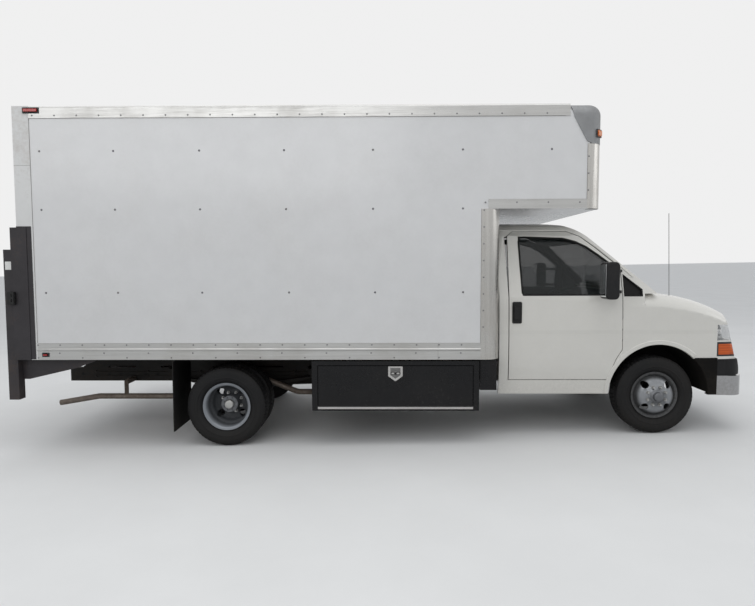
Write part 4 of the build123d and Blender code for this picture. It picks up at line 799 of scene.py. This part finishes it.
def eased(mesh):
    """The cab's mesh with its side blended into the fender."""
    mesh.transform(stance.inverted())
    shape = bmesh.new()
    shape.from_mesh(mesh)

    def at_firewall(point, slack=0.0005, inner_y=riser_y):
        return abs(point.co.x - firewall_x) < slack and abs(point.co.y) > inner_y

    def riser(face):
        """A face of the step itself."""
        return all(at_firewall(point) for point in face.verts)

    def flank(face):
        """A face of the cab's side or the fender near the firewall."""
        spot = face.calc_center_median()
        outward = abs(face.normal.y) > 0.6 and abs(spot.y) > panel_y
        return (outward or riser(face)) and -0.36 < spot.x < 0.60 and 0.60 < spot.z < 1.32

    # The faces near the firewall are cut into cells, so that there are points to move.
    levels = {round(point.co.z, 5) for point in shape.verts
              if at_firewall(point) and 0.80 < point.co.z < 1.26}
    levels |= {0.70 + ease_cell * i for i in range(20)}
    cuts = [((ease_low + ease_cell * i, 0, 0), (1, 0, 0)) for i in range(13)]
    cuts += [((0, 0, z), (0, 0, 1)) for z in sorted(levels)]
    for spot, facing in cuts:
        near = [face for face in shape.faces if flank(face)]
        edges = dict.fromkeys(edge for face in near for edge in face.edges)
        points = dict.fromkeys(point for face in near for point in face.verts)
        bmesh.ops.bisect_plane(shape, geom=near + list(edges) + list(points), dist=0.0002,
                               plane_co=spot, plane_no=facing)
    surface = BVHTree.FromBMesh(shape)

    def side_at(x, z, sign):
        """How far out the side stands at a place. A ray may slip through a seam, so three are cast."""
        slips = (0.0007, -0.0007, 0.004)
        spots = [surface.ray_cast((x, sign * 2, z + slip), (0, -sign, 0))[0] for slip in slips]
        reached = [abs(spot.y) for spot in spots if spot]
        return max(reached) if reached else None

    for point in shape.verts:
        x, y, z = point.co
        if not (ease_low < x < ease_high and abs(y) > panel_y and 0.70 < z < ease_top):
            continue
        sign = 1 if y > 0 else -1
        behind = side_at(firewall_x - 0.004, z, sign)
        ahead = side_at(firewall_x + 0.004, z, sign)
        if behind is None or ahead is None or abs(ahead - behind) > largest_step:
            continue
        if abs(y) < min(behind, ahead) - 0.0025:
            continue
        step = (ahead - behind) * min(1, (ease_top - z) / ease_fade)
        share = (x - ease_low) / (ease_high - ease_low)
        share = share * share * (3 - 2 * share)
        on_seam = abs(x - firewall_x) < 0.001
        nearer_behind = abs(abs(y) - behind) < abs(abs(y) - ahead)
        if nearer_behind if on_seam else x < firewall_x:
            point.co.y += sign * step * share
        else:
            point.co.y -= sign * step * (1 - share)

    # Where the step has closed its faces go and the two sides are joined.
    whole_top = 1.2256
    shut = [face for face in shape.faces
            if riser(face) and max(point.co.z for point in face.verts) < whole_top]
    bmesh.ops.delete(shape, geom=shut, context="FACES")
    seam = [point for point in shape.verts if at_firewall(point, 0.001, panel_y)]
    bmesh.ops.remove_doubles(shape, verts=seam, dist=0.0008)
    bmesh.ops.triangulate(shape, faces=[face for face in shape.faces if len(face.verts) > 4])
    shape.to_mesh(mesh)
    shape.free()
    mesh.transform(stance)
    return mesh


soften(cab_paint, "hood", angle=24)
for node in ("cab_shell", "cab_door_left", "cab_door_right"):
    body = body_of(node)
    panel = skin(node, lambda face: not inside_cabin(face))
    if node == "cab_shell":
        panel = eased(panel)
    place_piece(node + "_skin", panel, cab_paint, body, level=False, angle=24, replaces=(node,))
    place_piece(node + "_trim", skin(node, inside_cabin), cabin_trim, body, level=False, angle=24,
                replaces=(node,))
liner_black = finish("liner black", (0.006, 0.006, 0.006), soil=(0.04, 0.034, 0.028), soiled=0.3,
                     rough=0.85, low=(0.2, 1.2), gloss=0.1)
dress(liner_black, "wheelhouses")

eave_z = 1.862
belt_z = 1.312


def side_y(z):
    """How far the cab's side stands from the middle at a height, from the belt up to the roof."""
    return 0.990 - (min(z, eave_z) - belt_z) * 0.2945 - max(0, z - eave_z) * 0.40


def on_side(x, z, out=0.0):
    """A point on the cab's right side above the belt, moved outwards."""
    return (x, -side_y(z) - out, z)


def flank_y(x, z):
    """How far the cab's side stands from the middle, below the belt."""
    return 1.0035 if x > firewall_x else min(1.0065, 0.980 + (z - 0.381) * 0.1004)


# Wheel arches and roof gutters: the sheet is turned out round each front wheel as a rolled lip down
# to the bumper cover's black end, and a folded gutter runs along the roof and down the post.
lip_profile = (
    # radius, distance out from the side
    (0.4625, -0.012), (0.4630, 0.0045), (0.4660, 0.0070),
    (0.4990, 0.0070), (0.5040, 0.0010), (0.5040, -0.004),
)
lip_steps = 60
lip_spots = []
for i in range(lip_steps + 1):
    turn = pi * (0.262 + 0.742 * i / lip_steps)
    for radius, out in lip_profile:
        x = 0.012 + radius * cos(turn)
        z = 0.398 + radius * sin(turn)
        lip_spots.append((x, -flank_y(x, z) - out, z))
size = len(lip_profile)
lip_faces = [(i * size + j, i * size + j + 1, i * size + size + j + 1, i * size + size + j)
             for i in range(lip_steps) for j in range(size - 1)]
arch_lip = mesh_of("arch lip", lip_spots, lip_faces)
end_turns = [pi * turn / 40 for turn in range(11)]
end_outline = [(0.012 + 0.4600 * cos(turn), 0.396 + 0.4600 * sin(turn)) for turn in end_turns]
end_outline += [(0.345, 0.735), (0.556, 0.735), (0.556, 0.389), (0.472, 0.389)]
cover_end = slab(end_outline, "Y", -1.0115, -0.9700, 0.003)
gutter_line = ((-1.455, 1.940), (-0.822, 1.940), (-0.700, 1.897), (-0.556, 1.786), (-0.337, 1.598),
               (-0.225, 1.494))
gutter = tube([on_side(x, z, 0.001) for x, z in gutter_line], 0.007)
place_pair("cab_lips", [arch_lip, gutter], cab_paint)
place_pair("cover_ends", [cover_end], liner_black)

# Door fittings: a black pull handle on its plate, and black rubber round each window. The small
# corner window ahead of each door has a rubber and a black panel.
trim_black = finish("trim black", (0.010, 0.010, 0.011), soil=(0.06, 0.055, 0.05), soiled=0.25,
                    rough=0.5, gloss=0.25, grain=(0.0004, 400.0))
seal_black = finish("window rubber", (0.008, 0.008, 0.008), soil=(0.05, 0.045, 0.04), soiled=0.2,
                    rough=0.6, gloss=0.2)
handle = joined(block((-1.372, -1.0175, 1.062), (-1.282, -1.0030, 1.266), 0.007, 3),
                block((-1.364, -1.0330, 1.095), (-1.298, -1.0150, 1.232), 0.008, 3))
on_doors("handle", handle, trim_black)
window_line = ((-0.403, 1.326), (-0.403, 1.598), (-0.461, 1.643), (-0.528, 1.697), (-0.642, 1.780),
               (-0.742, 1.829), (-0.862, 1.862), (-1.240, 1.878), (-1.276, 1.866), (-1.286, 1.830),
               (-1.272, 1.345), (-1.258, 1.326))
window_seal = tube([on_side(x, z, -0.006) for x, z in window_line], 0.011, closed=True)
on_doors("window_rubber", window_seal, seal_black)
quarter_line = ((-0.316, 1.320), (-0.316, 1.512), (-0.156, 1.374), (-0.156, 1.320))
quarter_seal = tube([on_side(x, z, -0.004) for x, z in quarter_line], 0.012, closed=True)
quarter_panel = slab(quarter_line, "Y", 0.0, 0.004)
for spot in quarter_panel.vertices:
    spot.co.y = spot.co.y - side_y(spot.co.z) + 0.008
place_pair("quarter_trim", [quarter_seal, quarter_panel], seal_black)

# Glass: half clear and near black, partly its own tint and partly painted shade for the shadowed cabin
# behind it, so that it looks dark against the cabin, with a black rubber round the windshield.
glass_material, glass_place, glass_shader = new_material("tinted glass")
# The glass's near-black colour is partly tint and partly painted shade of the cabin.
glass_tint_and_shade = glass_place.noise(3.0, 4.0).tint((0.010, 0.014, 0.014, 1), (0.016, 0.020, 0.020, 1))
link(glass_tint_and_shade, glass_shader, "Base Color")
link((glass_place.noise(6.0, 6.0) * 0.06 + 0.01).clamp(), glass_shader, "Roughness")
glass_shader.inputs["Alpha"].default_value = 0.50
glass_shader.inputs["IOR"].default_value = 1.5
dress(glass_material, "windshield", "door_glass_left", "door_glass_right")


def screen_x(z):
    """Where the rubber's middle lies along the truck at a height, just under the glass's face."""
    return -0.600 + (1.859 - z) * 1.1387 - 0.004


screen_line = ((-0.862, 1.392), (0.862, 1.392), (0.746, 1.798), (0.720, 1.832), (0.680, 1.841),
               (-0.680, 1.841), (-0.720, 1.832), (-0.746, 1.798))
screen_seal = tube([(screen_x(z), y, z) for y, z in screen_line], 0.016, closed=True)
place_piece("windshield_rubber", screen_seal, seal_black)

# Cowl and wipers: a black panel between the hood and the glass, and two wiper arms parked on it.
cowl_outline = ((0.015, -0.820), (0.015, 0.820), (-0.052, 0.790), (-0.052, -0.790))
wiper_parts = [slab(cowl_outline, "Z", 1.352, 1.362, 0.002)]
for pivot_y, tip_y in ((-0.62, 0.02), (0.10, 0.76)):
    arm = [(-0.020, pivot_y, 1.366), (-0.045, (pivot_y + tip_y) / 2, 1.398), (-0.075, tip_y, 1.418)]
    blade = [(-0.060, pivot_y + 0.16, 1.396), (-0.085, tip_y + 0.12, 1.420)]
    wiper_parts += [tube(arm, 0.007), tube(blade, 0.009),
                    disc((-0.018, pivot_y, 1.364), to_top, 0.020, 0.020)]
place_piece("cowl_and_wipers", joined(*wiper_parts), trim_black)

# Antenna: a thin steel rod from the right fender.
antenna = tube([(0.150, -0.880, 1.268), (0.146, -0.880, 1.330), (0.122, -0.880, 2.095)], 0.0028)
antenna_foot = disc((0.150, -0.880, 1.272), to_top, 0.016, 0.040)
antenna_steel = finish("antenna steel", (0.10, 0.10, 0.10), rough=0.35, metal=0.8)
place_piece("antenna", joined(antenna, antenna_foot), antenna_steel)

# Mirrors: black moulded shells, with the mirror glass set in the rear face.
soften(trim_black, "mirror_left", "mirror_right")
mirror_silver, mirror_place, mirror_shader = new_material("mirror")
link(mirror_place.noise(9.0, 5.0) * 0.06 + 0.02, mirror_shader, "Roughness")
mirror_shader.inputs["Base Color"].default_value = (0.80, 0.82, 0.83, 1)
mirror_shader.inputs["Metallic"].default_value = 1.0
mirror_pane = block((-0.5975, -1.2540, 1.322), (-0.5945, -1.1060, 1.614), 0.001, 1)
on_doors("mirror_pane", mirror_pane, mirror_silver)

# Front: a dark grille, a black cover and the chromed bumper.
dress(finish("grille grey", (0.05, 0.05, 0.052), rough=0.4, soiled=0.4, coat=0.2), "grille")
dress(trim_black, "bumper_cover")
chrome = finish("chrome", (0.36, 0.36, 0.365), soil=(0.20, 0.18, 0.15), soiled=0.25,
                low=(0.03, 0.6), rough=0.12, uneven=0.04, metal=1.0, wave=(0.010, 5.0), shade=0.03)
soften(chrome, "bumper")

# Front lamps: a clear moulded lens over two silvered bowls before a silver plate, and an amber lens
# below it before a dark one.
clear_lens = finish("clear lens", (0.55, 0.56, 0.56), rough=0.06, coat=0.8, soiled=0.1,
                    grain=(0.0025, 9.0), stretch=(1, 9, 1))
clear_lens.node_tree.nodes["Principled BSDF"].inputs["Alpha"].default_value = 0.30
turn_lens, turn_place, turn_shader = new_material("turn lens")
turn_x = turn_place.part("X") - front_axle
turn_z = level_height(turn_place)
turn_rim = (turn_x.ramp(0.586, 0.578) + turn_z.ramp(0.768, 0.762) + turn_z.ramp(0.862, 0.868)).clamp()
turn_rib = turn_z.maths("SINE", turn_z * 260.0)
turn_tone = turn_rib.ramp(-1.0, 1.0).tint((0.62, 0.105, 0.006, 1), (0.50, 0.075, 0.004, 1))
link(turn_rim.tint(turn_tone, (0.012, 0.012, 0.012, 1)), turn_shader, "Base Color")
link(turn_rim * 0.3 + 0.12, turn_shader, "Roughness")
emboss(turn_rib * 0.0006, turn_shader)
turn_shader.inputs["Specular IOR Level"].default_value = 0.35
turn_shader.inputs["Coat Weight"].default_value = 0.15
lamp_silver = finish("lamp silver", (0.78, 0.78, 0.78), rough=0.12, metal=1.0, soiled=0.0, shade=0.02)
lens_split = 0.879
for name, side, lens_finish in (("headlamp_lenses", 1, clear_lens), ("turn_lenses", -1, turn_lens)):
    lens_skin = skin("front_lamps", lambda face: side * (face.calc_center_median().z - lens_split) > 0)
    place_piece(name, lens_skin, lens_finish, level=False, angle=40, replaces=("front_lamps",))
bowl = ((0.000, 0.012), (0.004, 0.030), (0.016, 0.047), (0.034, 0.058), (0.038, 0.060),
        (0.038, 0.064), (0.000, 0.050))
bulb = ((0.000, 0.008), (0.026, 0.008), (0.032, 0.005))
bowl_spots = ((0.628, -0.715, 0.972), (0.585, -0.870, 0.972))
bowl_parts = [turned(bowl, spot, to_front, 32, closed=True) for spot in bowl_spots]
bowl_parts += [turned(bulb, spot, to_front, 16) for spot in bowl_spots]
bowl_parts.append(block((0.5535, -0.985, 0.899), (0.562, -0.641, 1.045), 0.002, 1))
place_pair("lamp_bowls", bowl_parts, lamp_silver)
lamp_housing = block((0.5535, -0.985, 0.749), (0.562, -0.641, 0.883), 0.002, 1)
place_pair("lamp_housings", [lamp_housing], lamp_black)

# Radiator: a grey core with level fins, seen through the grille, with painted shade in the dark gaps
# between the fins.
fin_material, fin_place, fin_shader = new_material("radiator fins")
fins_per_metre = 90.0
fins_and_shaded_gaps = (fin_place.part("Z") * fins_per_metre).fraction().ramp(0.25, 0.45)
link(fins_and_shaded_gaps.tint((0.02, 0.02, 0.02, 1), (0.16, 0.16, 0.155, 1)), fin_shader, "Base Color")
link(fins_and_shaded_gaps * 0.25 + 0.35, fin_shader, "Roughness")
emboss(fins_and_shaded_gaps * 0.002, fin_shader)
dress(fin_material, "radiator")

# Wheels: pressed steel painted silver, held by eight nuts. A dished hub cap shows at the front, and
# at the rear the axle's own flanged hub with a bright cap.
wheel_middle = stance @ Vector((0, 0, axle_height))
outer_lip = 1.130


def rim_dust_and_shade(place):
    """Brake dust and painted shade on the rim's barrel, growing outwards from a front wheel's disc to its
    rim.
    """
    along = place.part("X") - wheel_middle.x
    up = place.part("Z") - wheel_middle.z
    squares = along * along + up * up
    return squares.maths("SQRT", squares).ramp(0.148, 0.176) * 0.85


def dish_dust_and_shade(place):
    """Road dust and painted shade in the rear wheels' deep dish, growing from the bright outer lip
    inwards.
    """
    return (outer_lip - abs(place.part("Y"))).ramp(0.002, 0.085) * 0.85


def wheel_silver(name, spread, speckle, clean, dusty_and_shaded, rough, rougher, metal):
    """Silver wheel paint under a mask of dust and painted shade. rough is its roughness, and rougher what
    the full mask adds.
    """
    material, place, shader = new_material(name)
    speck = place.noise(40.0, 6.0, 0.65)
    dust_and_shade = (spread(place) + speck.ramp(0.5, 0.75) * speckle).clamp()
    link(dust_and_shade.tint(clean, dusty_and_shaded), shader, "Base Color")
    link((dust_and_shade * rougher + rough).clamp(), shader, "Roughness")
    link(metal * (1 - dust_and_shade), shader, "Metallic")
    emboss(speck * 0.0006, shader)
    return material


# The front rims and the rear dishes go dark towards the dusty colour: part dust, part painted shade.
front_paint = wheel_silver("front wheel silver", rim_dust_and_shade, 0.25, (0.27, 0.28, 0.295, 1),
                           (0.030, 0.029, 0.028, 1), 0.32, 0.3, 0.45)
rear_paint = wheel_silver("rear wheel silver", dish_dust_and_shade, 0.15, (0.215, 0.23, 0.25, 1),
                          (0.032, 0.034, 0.037, 1), 0.33, 0.35, 0.35)
for side in ("left", "right"):
    soften(front_paint, "front_wheel_" + side)
    soften(rear_paint, "rear_wheels_" + side)
nut_metal = finish("nut metal", (0.42, 0.42, 0.41), soil=(0.12, 0.08, 0.06), soiled=0.4, rough=0.35,
                   metal=0.9)
hub_iron = finish("hub iron", (0.15, 0.155, 0.165), soil=(0.12, 0.09, 0.07), soiled=0.5, rough=0.45,
                  metal=0.5, grain=(0.0006, 120.0))
nut_turns = [pi * (0.125 + 0.25 * i) for i in range(8)]


def around(profile, x, y, z, radius):
    """Eight six-sided turned forms set in a ring about a wheel's axis."""
    spots = [(x + radius * cos(a), y, z + radius * sin(a)) for a in nut_turns]
    return joined(*(turned(profile, spot, to_left, 6) for spot in spots))


# Profiles are pairs of distance out and radius.
nut = ((0.000, 0.0165), (0.004, 0.0165), (0.004, 0.0130), (0.021, 0.0128), (0.026, 0.0090))
front_cap = ((0.000, 0.064), (0.004, 0.066), (0.010, 0.060), (0.018, 0.046), (0.026, 0.043),
             (0.040, 0.040), (0.045, 0.033), (0.047, 0.015))
hub_flange = ((0.000, 0.0785), (0.006, 0.0785), (0.008, 0.076), (0.008, 0.048))
hub_bolt = ((0.000, 0.010), (0.007, 0.010), (0.009, 0.007))
rear_cap = ((0.000, 0.047), (0.010, 0.0465), (0.024, 0.043), (0.030, 0.036), (0.033, 0.020))
rear_hub = joined(turned(hub_flange, (axle_x, 1.026, axle_z), to_left),
                  around(hub_bolt, axle_x, 1.034, axle_z, 0.062))
hub_pieces = (
    # name, body, mesh, finish
    ("front_nuts", "front_{}_wheel", around(nut, 0, 0.994, axle_height, 0.090), nut_metal),
    ("front_cap", "front_{}_wheel", turned(front_cap, (0, 1.0075, axle_height), to_left), hub_iron),
    ("rear_nuts", "rear_{}_wheels", around(nut, axle_x, 0.933, axle_z, 0.095), nut_metal),
    ("rear_hub", "rear_{}_wheels", rear_hub, hub_iron),
    ("rear_cap", "rear_{}_wheels", turned(rear_cap, (axle_x, 1.034, axle_z), to_left), nut_metal),
)
for name, body, mesh, metal in hub_pieces:
    for side, part in sides(mesh):
        place_piece(name + "_" + side, part, metal, body.format(side), angle=30)

# Tyres: worn commercial tyres, a carcass with moulded rings on its side and five rows of tread
# blocks. One row across the tread is copied round the axle.
tyre_rubber = finish("tyre rubber", (0.011, 0.011, 0.0115), soil=(0.045, 0.040, 0.034), soiled=0.3,
                     low=(0.18, 0.45), gloss=0.2, rough=0.62, grain=(0.0005, 90.0), shade=0.12)
ring_tree, given = new_tree("row round an axle", "Ring", Row="Geometry", Count="Int",
                            Finish="Material")
ring_line = {"Count": given["Count"], "Offset": (0, 0, 0)}
ring_points = Wire(ring_tree).node("GeometryNodeMeshLine", {}, ring_line)
ring_index = ring_points.node("GeometryNodeInputIndex")
ring_angle = ring_index.maths("DIVIDE", ring_index, given["Count"]) * (2 * pi)
ring_turn = ring_angle.node("CombineXYZ", {}, {"Y": ring_angle})
copied(ring_tree, given["Finish"], Points=ring_points, Instance=given["Row"], Rotation=ring_turn)


def reflected(outline):
    """An outline of (distance out, radius) pairs on the tyre's other half."""
    return tuple((-out, radius) for out, radius in reversed(outline))


shoulder = ((0.058, 0.357), (0.058, 0.3690), (0.066, 0.3688), (0.091, 0.3605), (0.098, 0.3480),
            (0.090, 0.3470))
between = ((0.022, 0.357), (0.022, 0.3694), (0.052, 0.3692), (0.052, 0.357))
middle = ((-0.016, 0.357), (-0.016, 0.3695), (0.016, 0.3695), (0.016, 0.357))
tread_columns = (
    # outline across the tread, start and end round it
    (shoulder, -0.016, 0.014),
    (between, -0.010, 0.022),
    (middle, -0.019, 0.012),
    (reflected(between), -0.022, 0.010),
    (reflected(shoulder), -0.014, 0.016),
)
tread_row = joined(*(slab(outline, "X", low, high) for outline, low, high in tread_columns))
tread = grown("tread", tread_row, ring_tree, {"Count": 62, "Finish": tyre_rubber})
tyre_side = ((0.0000, 0.3612), (0.0540, 0.3610), (0.0900, 0.3560), (0.0965, 0.3480), (0.1010, 0.3380),
             (0.1068, 0.3220), (0.1072, 0.3205), (0.1086, 0.3195), (0.1103, 0.3020), (0.1098, 0.2890),
             (0.1086, 0.2800), (0.1094, 0.2785), (0.1092, 0.2735), (0.1078, 0.2720), (0.1040, 0.2560),
             (0.1018, 0.2500), (0.0945, 0.2390), (0.0800, 0.2292), (0.0755, 0.2270), (0.0750, 0.2040))
carcass = turned(tyre_side + reflected(tyre_side[1:]), (0, 0, 0), to_left, 96, closed=True)
tyre_form = joined(carcass, tread)


def tyre_at(x, y, z):
    """A copy of the tyre with its middle at a point."""
    mesh = tyre_form.copy()
    mesh.transform(Matrix.Translation((x, y, z)))
    return mesh


rear_pair = joined(tyre_at(axle_x, 0.794, axle_z), tyre_at(axle_x, 1.052, axle_z))
tyre_pieces = (
    ("front_tyre", "front_{}_wheel", tyre_at(0, 0.865, axle_height)),
    ("rear_tyres", "rear_{}_wheels", rear_pair),
)
for name, body, mesh in tyre_pieces:
    for side, part in sides(mesh):
        node = name + "_" + side
        place_piece(node + "_tread", part, tyre_rubber, body.format(side), angle=40, replaces=(node,))

# Exhaust and fuel tank.
exhaust_steel = finish("exhaust steel", (0.20, 0.17, 0.145), soil=(0.10, 0.068, 0.048), soiled=0.7,
                       rough=0.55, metal=0.6, grain=(0.0006, 90.0), shade=0.2)
soften(exhaust_steel, "exhaust")
tank_black = finish("tank black", (0.018, 0.018, 0.018), soil=(0.07, 0.062, 0.052), soiled=0.4,
                    low=(0.3, 1.2), rough=0.6, grain=(0.0006, 200.0))
soften(tank_black, "fuel_tank")

# Cabin: a moulded dashboard with a hood over the dials, and a steering wheel with a padded rim and
# three spokes.
dash_grey = finish("dash grey", (0.035, 0.035, 0.038), rough=0.6, grain=(0.0006, 300.0), gloss=0.3)
soften(dash_grey, "dashboard")
dial_hood = block((-0.455, 0.265, 1.215), (-0.270, 0.600, 1.285), 0.022, 4)
place_piece("dial_hood", dial_hood, dash_grey)
column_way = Vector((-0.88, 0, 0.475)).normalized()
column_top = Vector((-0.650, 0.430, 1.160))
rim_turns = [2 * pi * i / 12 for i in range(12)]
rim = [(-0.012 + 0.0125 * sin(turn), 0.182 + 0.0135 * cos(turn)) for turn in rim_turns]
hub = ((-0.014, 0.057), (-0.004, 0.060), (-0.001, 0.050), (-0.0005, 0.02))
sleeve = ((-0.190, 0.036), (-0.060, 0.034), (-0.014, 0.030))
spoke = ((0.045, 0.008), (0.120, 0.012), (0.178, 0.013))
steering_parts = [turned(rim, column_top, column_way, 64, closed=True),
                  turned(hub, column_top, column_way, 32),
                  turned(sleeve, column_top, column_way, 24)]
aside = Vector(to_left)
upward = column_way.cross(aside)
for way in (aside, -aside, -upward if upward.z > 0 else upward):
    line = [column_top + way * reach - column_way * depth for reach, depth in spoke]
    steering_parts.append(tube(line, 0.011))
place_piece("steering_wheel_rim", joined(*steering_parts), dash_grey, replaces=("steering_wheel",))


# Seats: two cloth seats on steel pedestals, each a cushion, a back and a headrest of foam in a sewn
# cover.
def sewn_channels(place):
    """Two sewn channels down each seat, beside its middle panel."""
    from_seat = abs(place.part("Y")) - 0.430
    from_seam = abs(from_seat) - 0.135
    return abs(from_seam).ramp(0.0, 0.012) * 0.006


seat_cloth = finish("seat cloth", (0.050, 0.050, 0.054), rough=0.9, grain=(0.0012, 450.0),
                    wave=(0.004, 9.0), gloss=0.2, pressing=sewn_channels)
cloth_steps = 20
seat_voxel = 0.011


def stuffed(mesh, reach):
    """Foam in its cover: the form is remeshed, blown up as cloth, held to a reach and divided once."""
    holder = linked("pad", mesh)
    remesh = holder.modifiers.new("remesh", "REMESH")
    remesh.mode = "VOXEL"
    remesh.voxel_size = seat_voxel
    plain = settled(holder)
    holder.modifiers.clear()
    holder.data = plain
    cloth = holder.modifiers.new("cloth", "CLOTH")
    cloth.settings.use_pressure = True
    cloth.settings.uniform_pressure_force = 4
    cloth.settings.effector_weights.gravity = 0
    for step in range(1, cloth_steps + 1):
        bpy.context.scene.frame_set(step)
    swollen = settled(holder)
    for before, after in zip(plain.vertices, swollen.vertices):
        move = after.co - before.co
        if move.length > reach:
            after.co = before.co + move.normalized() * reach
    holder.modifiers.clear()
    holder.data = swollen
    holder.modifiers.new("smooth", "SUBSURF").levels = 1
    divided = settled(holder)
    bpy.data.objects.remove(holder)
    bpy.context.scene.frame_set(1)
    return divided


cushion_line = ((-1.330, 0.805), (-0.875, 0.812), (-0.838, 0.890), (-0.862, 0.912), (-1.190, 0.885),
                (-1.320, 0.900))
back_line = ((-1.235, 0.935), (-1.345, 1.360), (-1.410, 1.360), (-1.375, 0.990), (-1.330, 0.925))
head_line = ((-1.312, 1.385), (-1.342, 1.550), (-1.408, 1.555), (-1.414, 1.385))
pad_table = (
    # name, outline from the side, nearest and farthest from the middle, reach, fill
    ("cushion", cushion_line, 0.196, 0.664, 0.012, 0.75),
    ("back", back_line, 0.200, 0.660, 0.012, 0.7),
    ("headrest", head_line, 0.300, 0.560, 0.007, 0.8),
)
for name, outline, low, high, reach, fill in pad_table:
    pad = stuffed(slab(outline, "Y", low, high, 0.018, 3), reach)
    for side, part in sides(pad):
        piece = place_piece(f"seat_{name}_{side}", part, seat_cloth, angle=60, replaces=("seats",))
pedestal_parts = [block((-1.290, 0.242, 0.601), (-0.912, 0.618, 0.780), 0.006),
                  block((-1.300, 0.215, 0.770), (-0.890, 0.645, 0.800), 0.006)]
for y in (0.375, 0.485):
    pedestal_parts.append(tube([(-1.376, y, 1.340), (-1.376, y, 1.400)], 0.006))
place_pair("seat_pedestals", pedestal_parts, dash_grey, ("seats",))
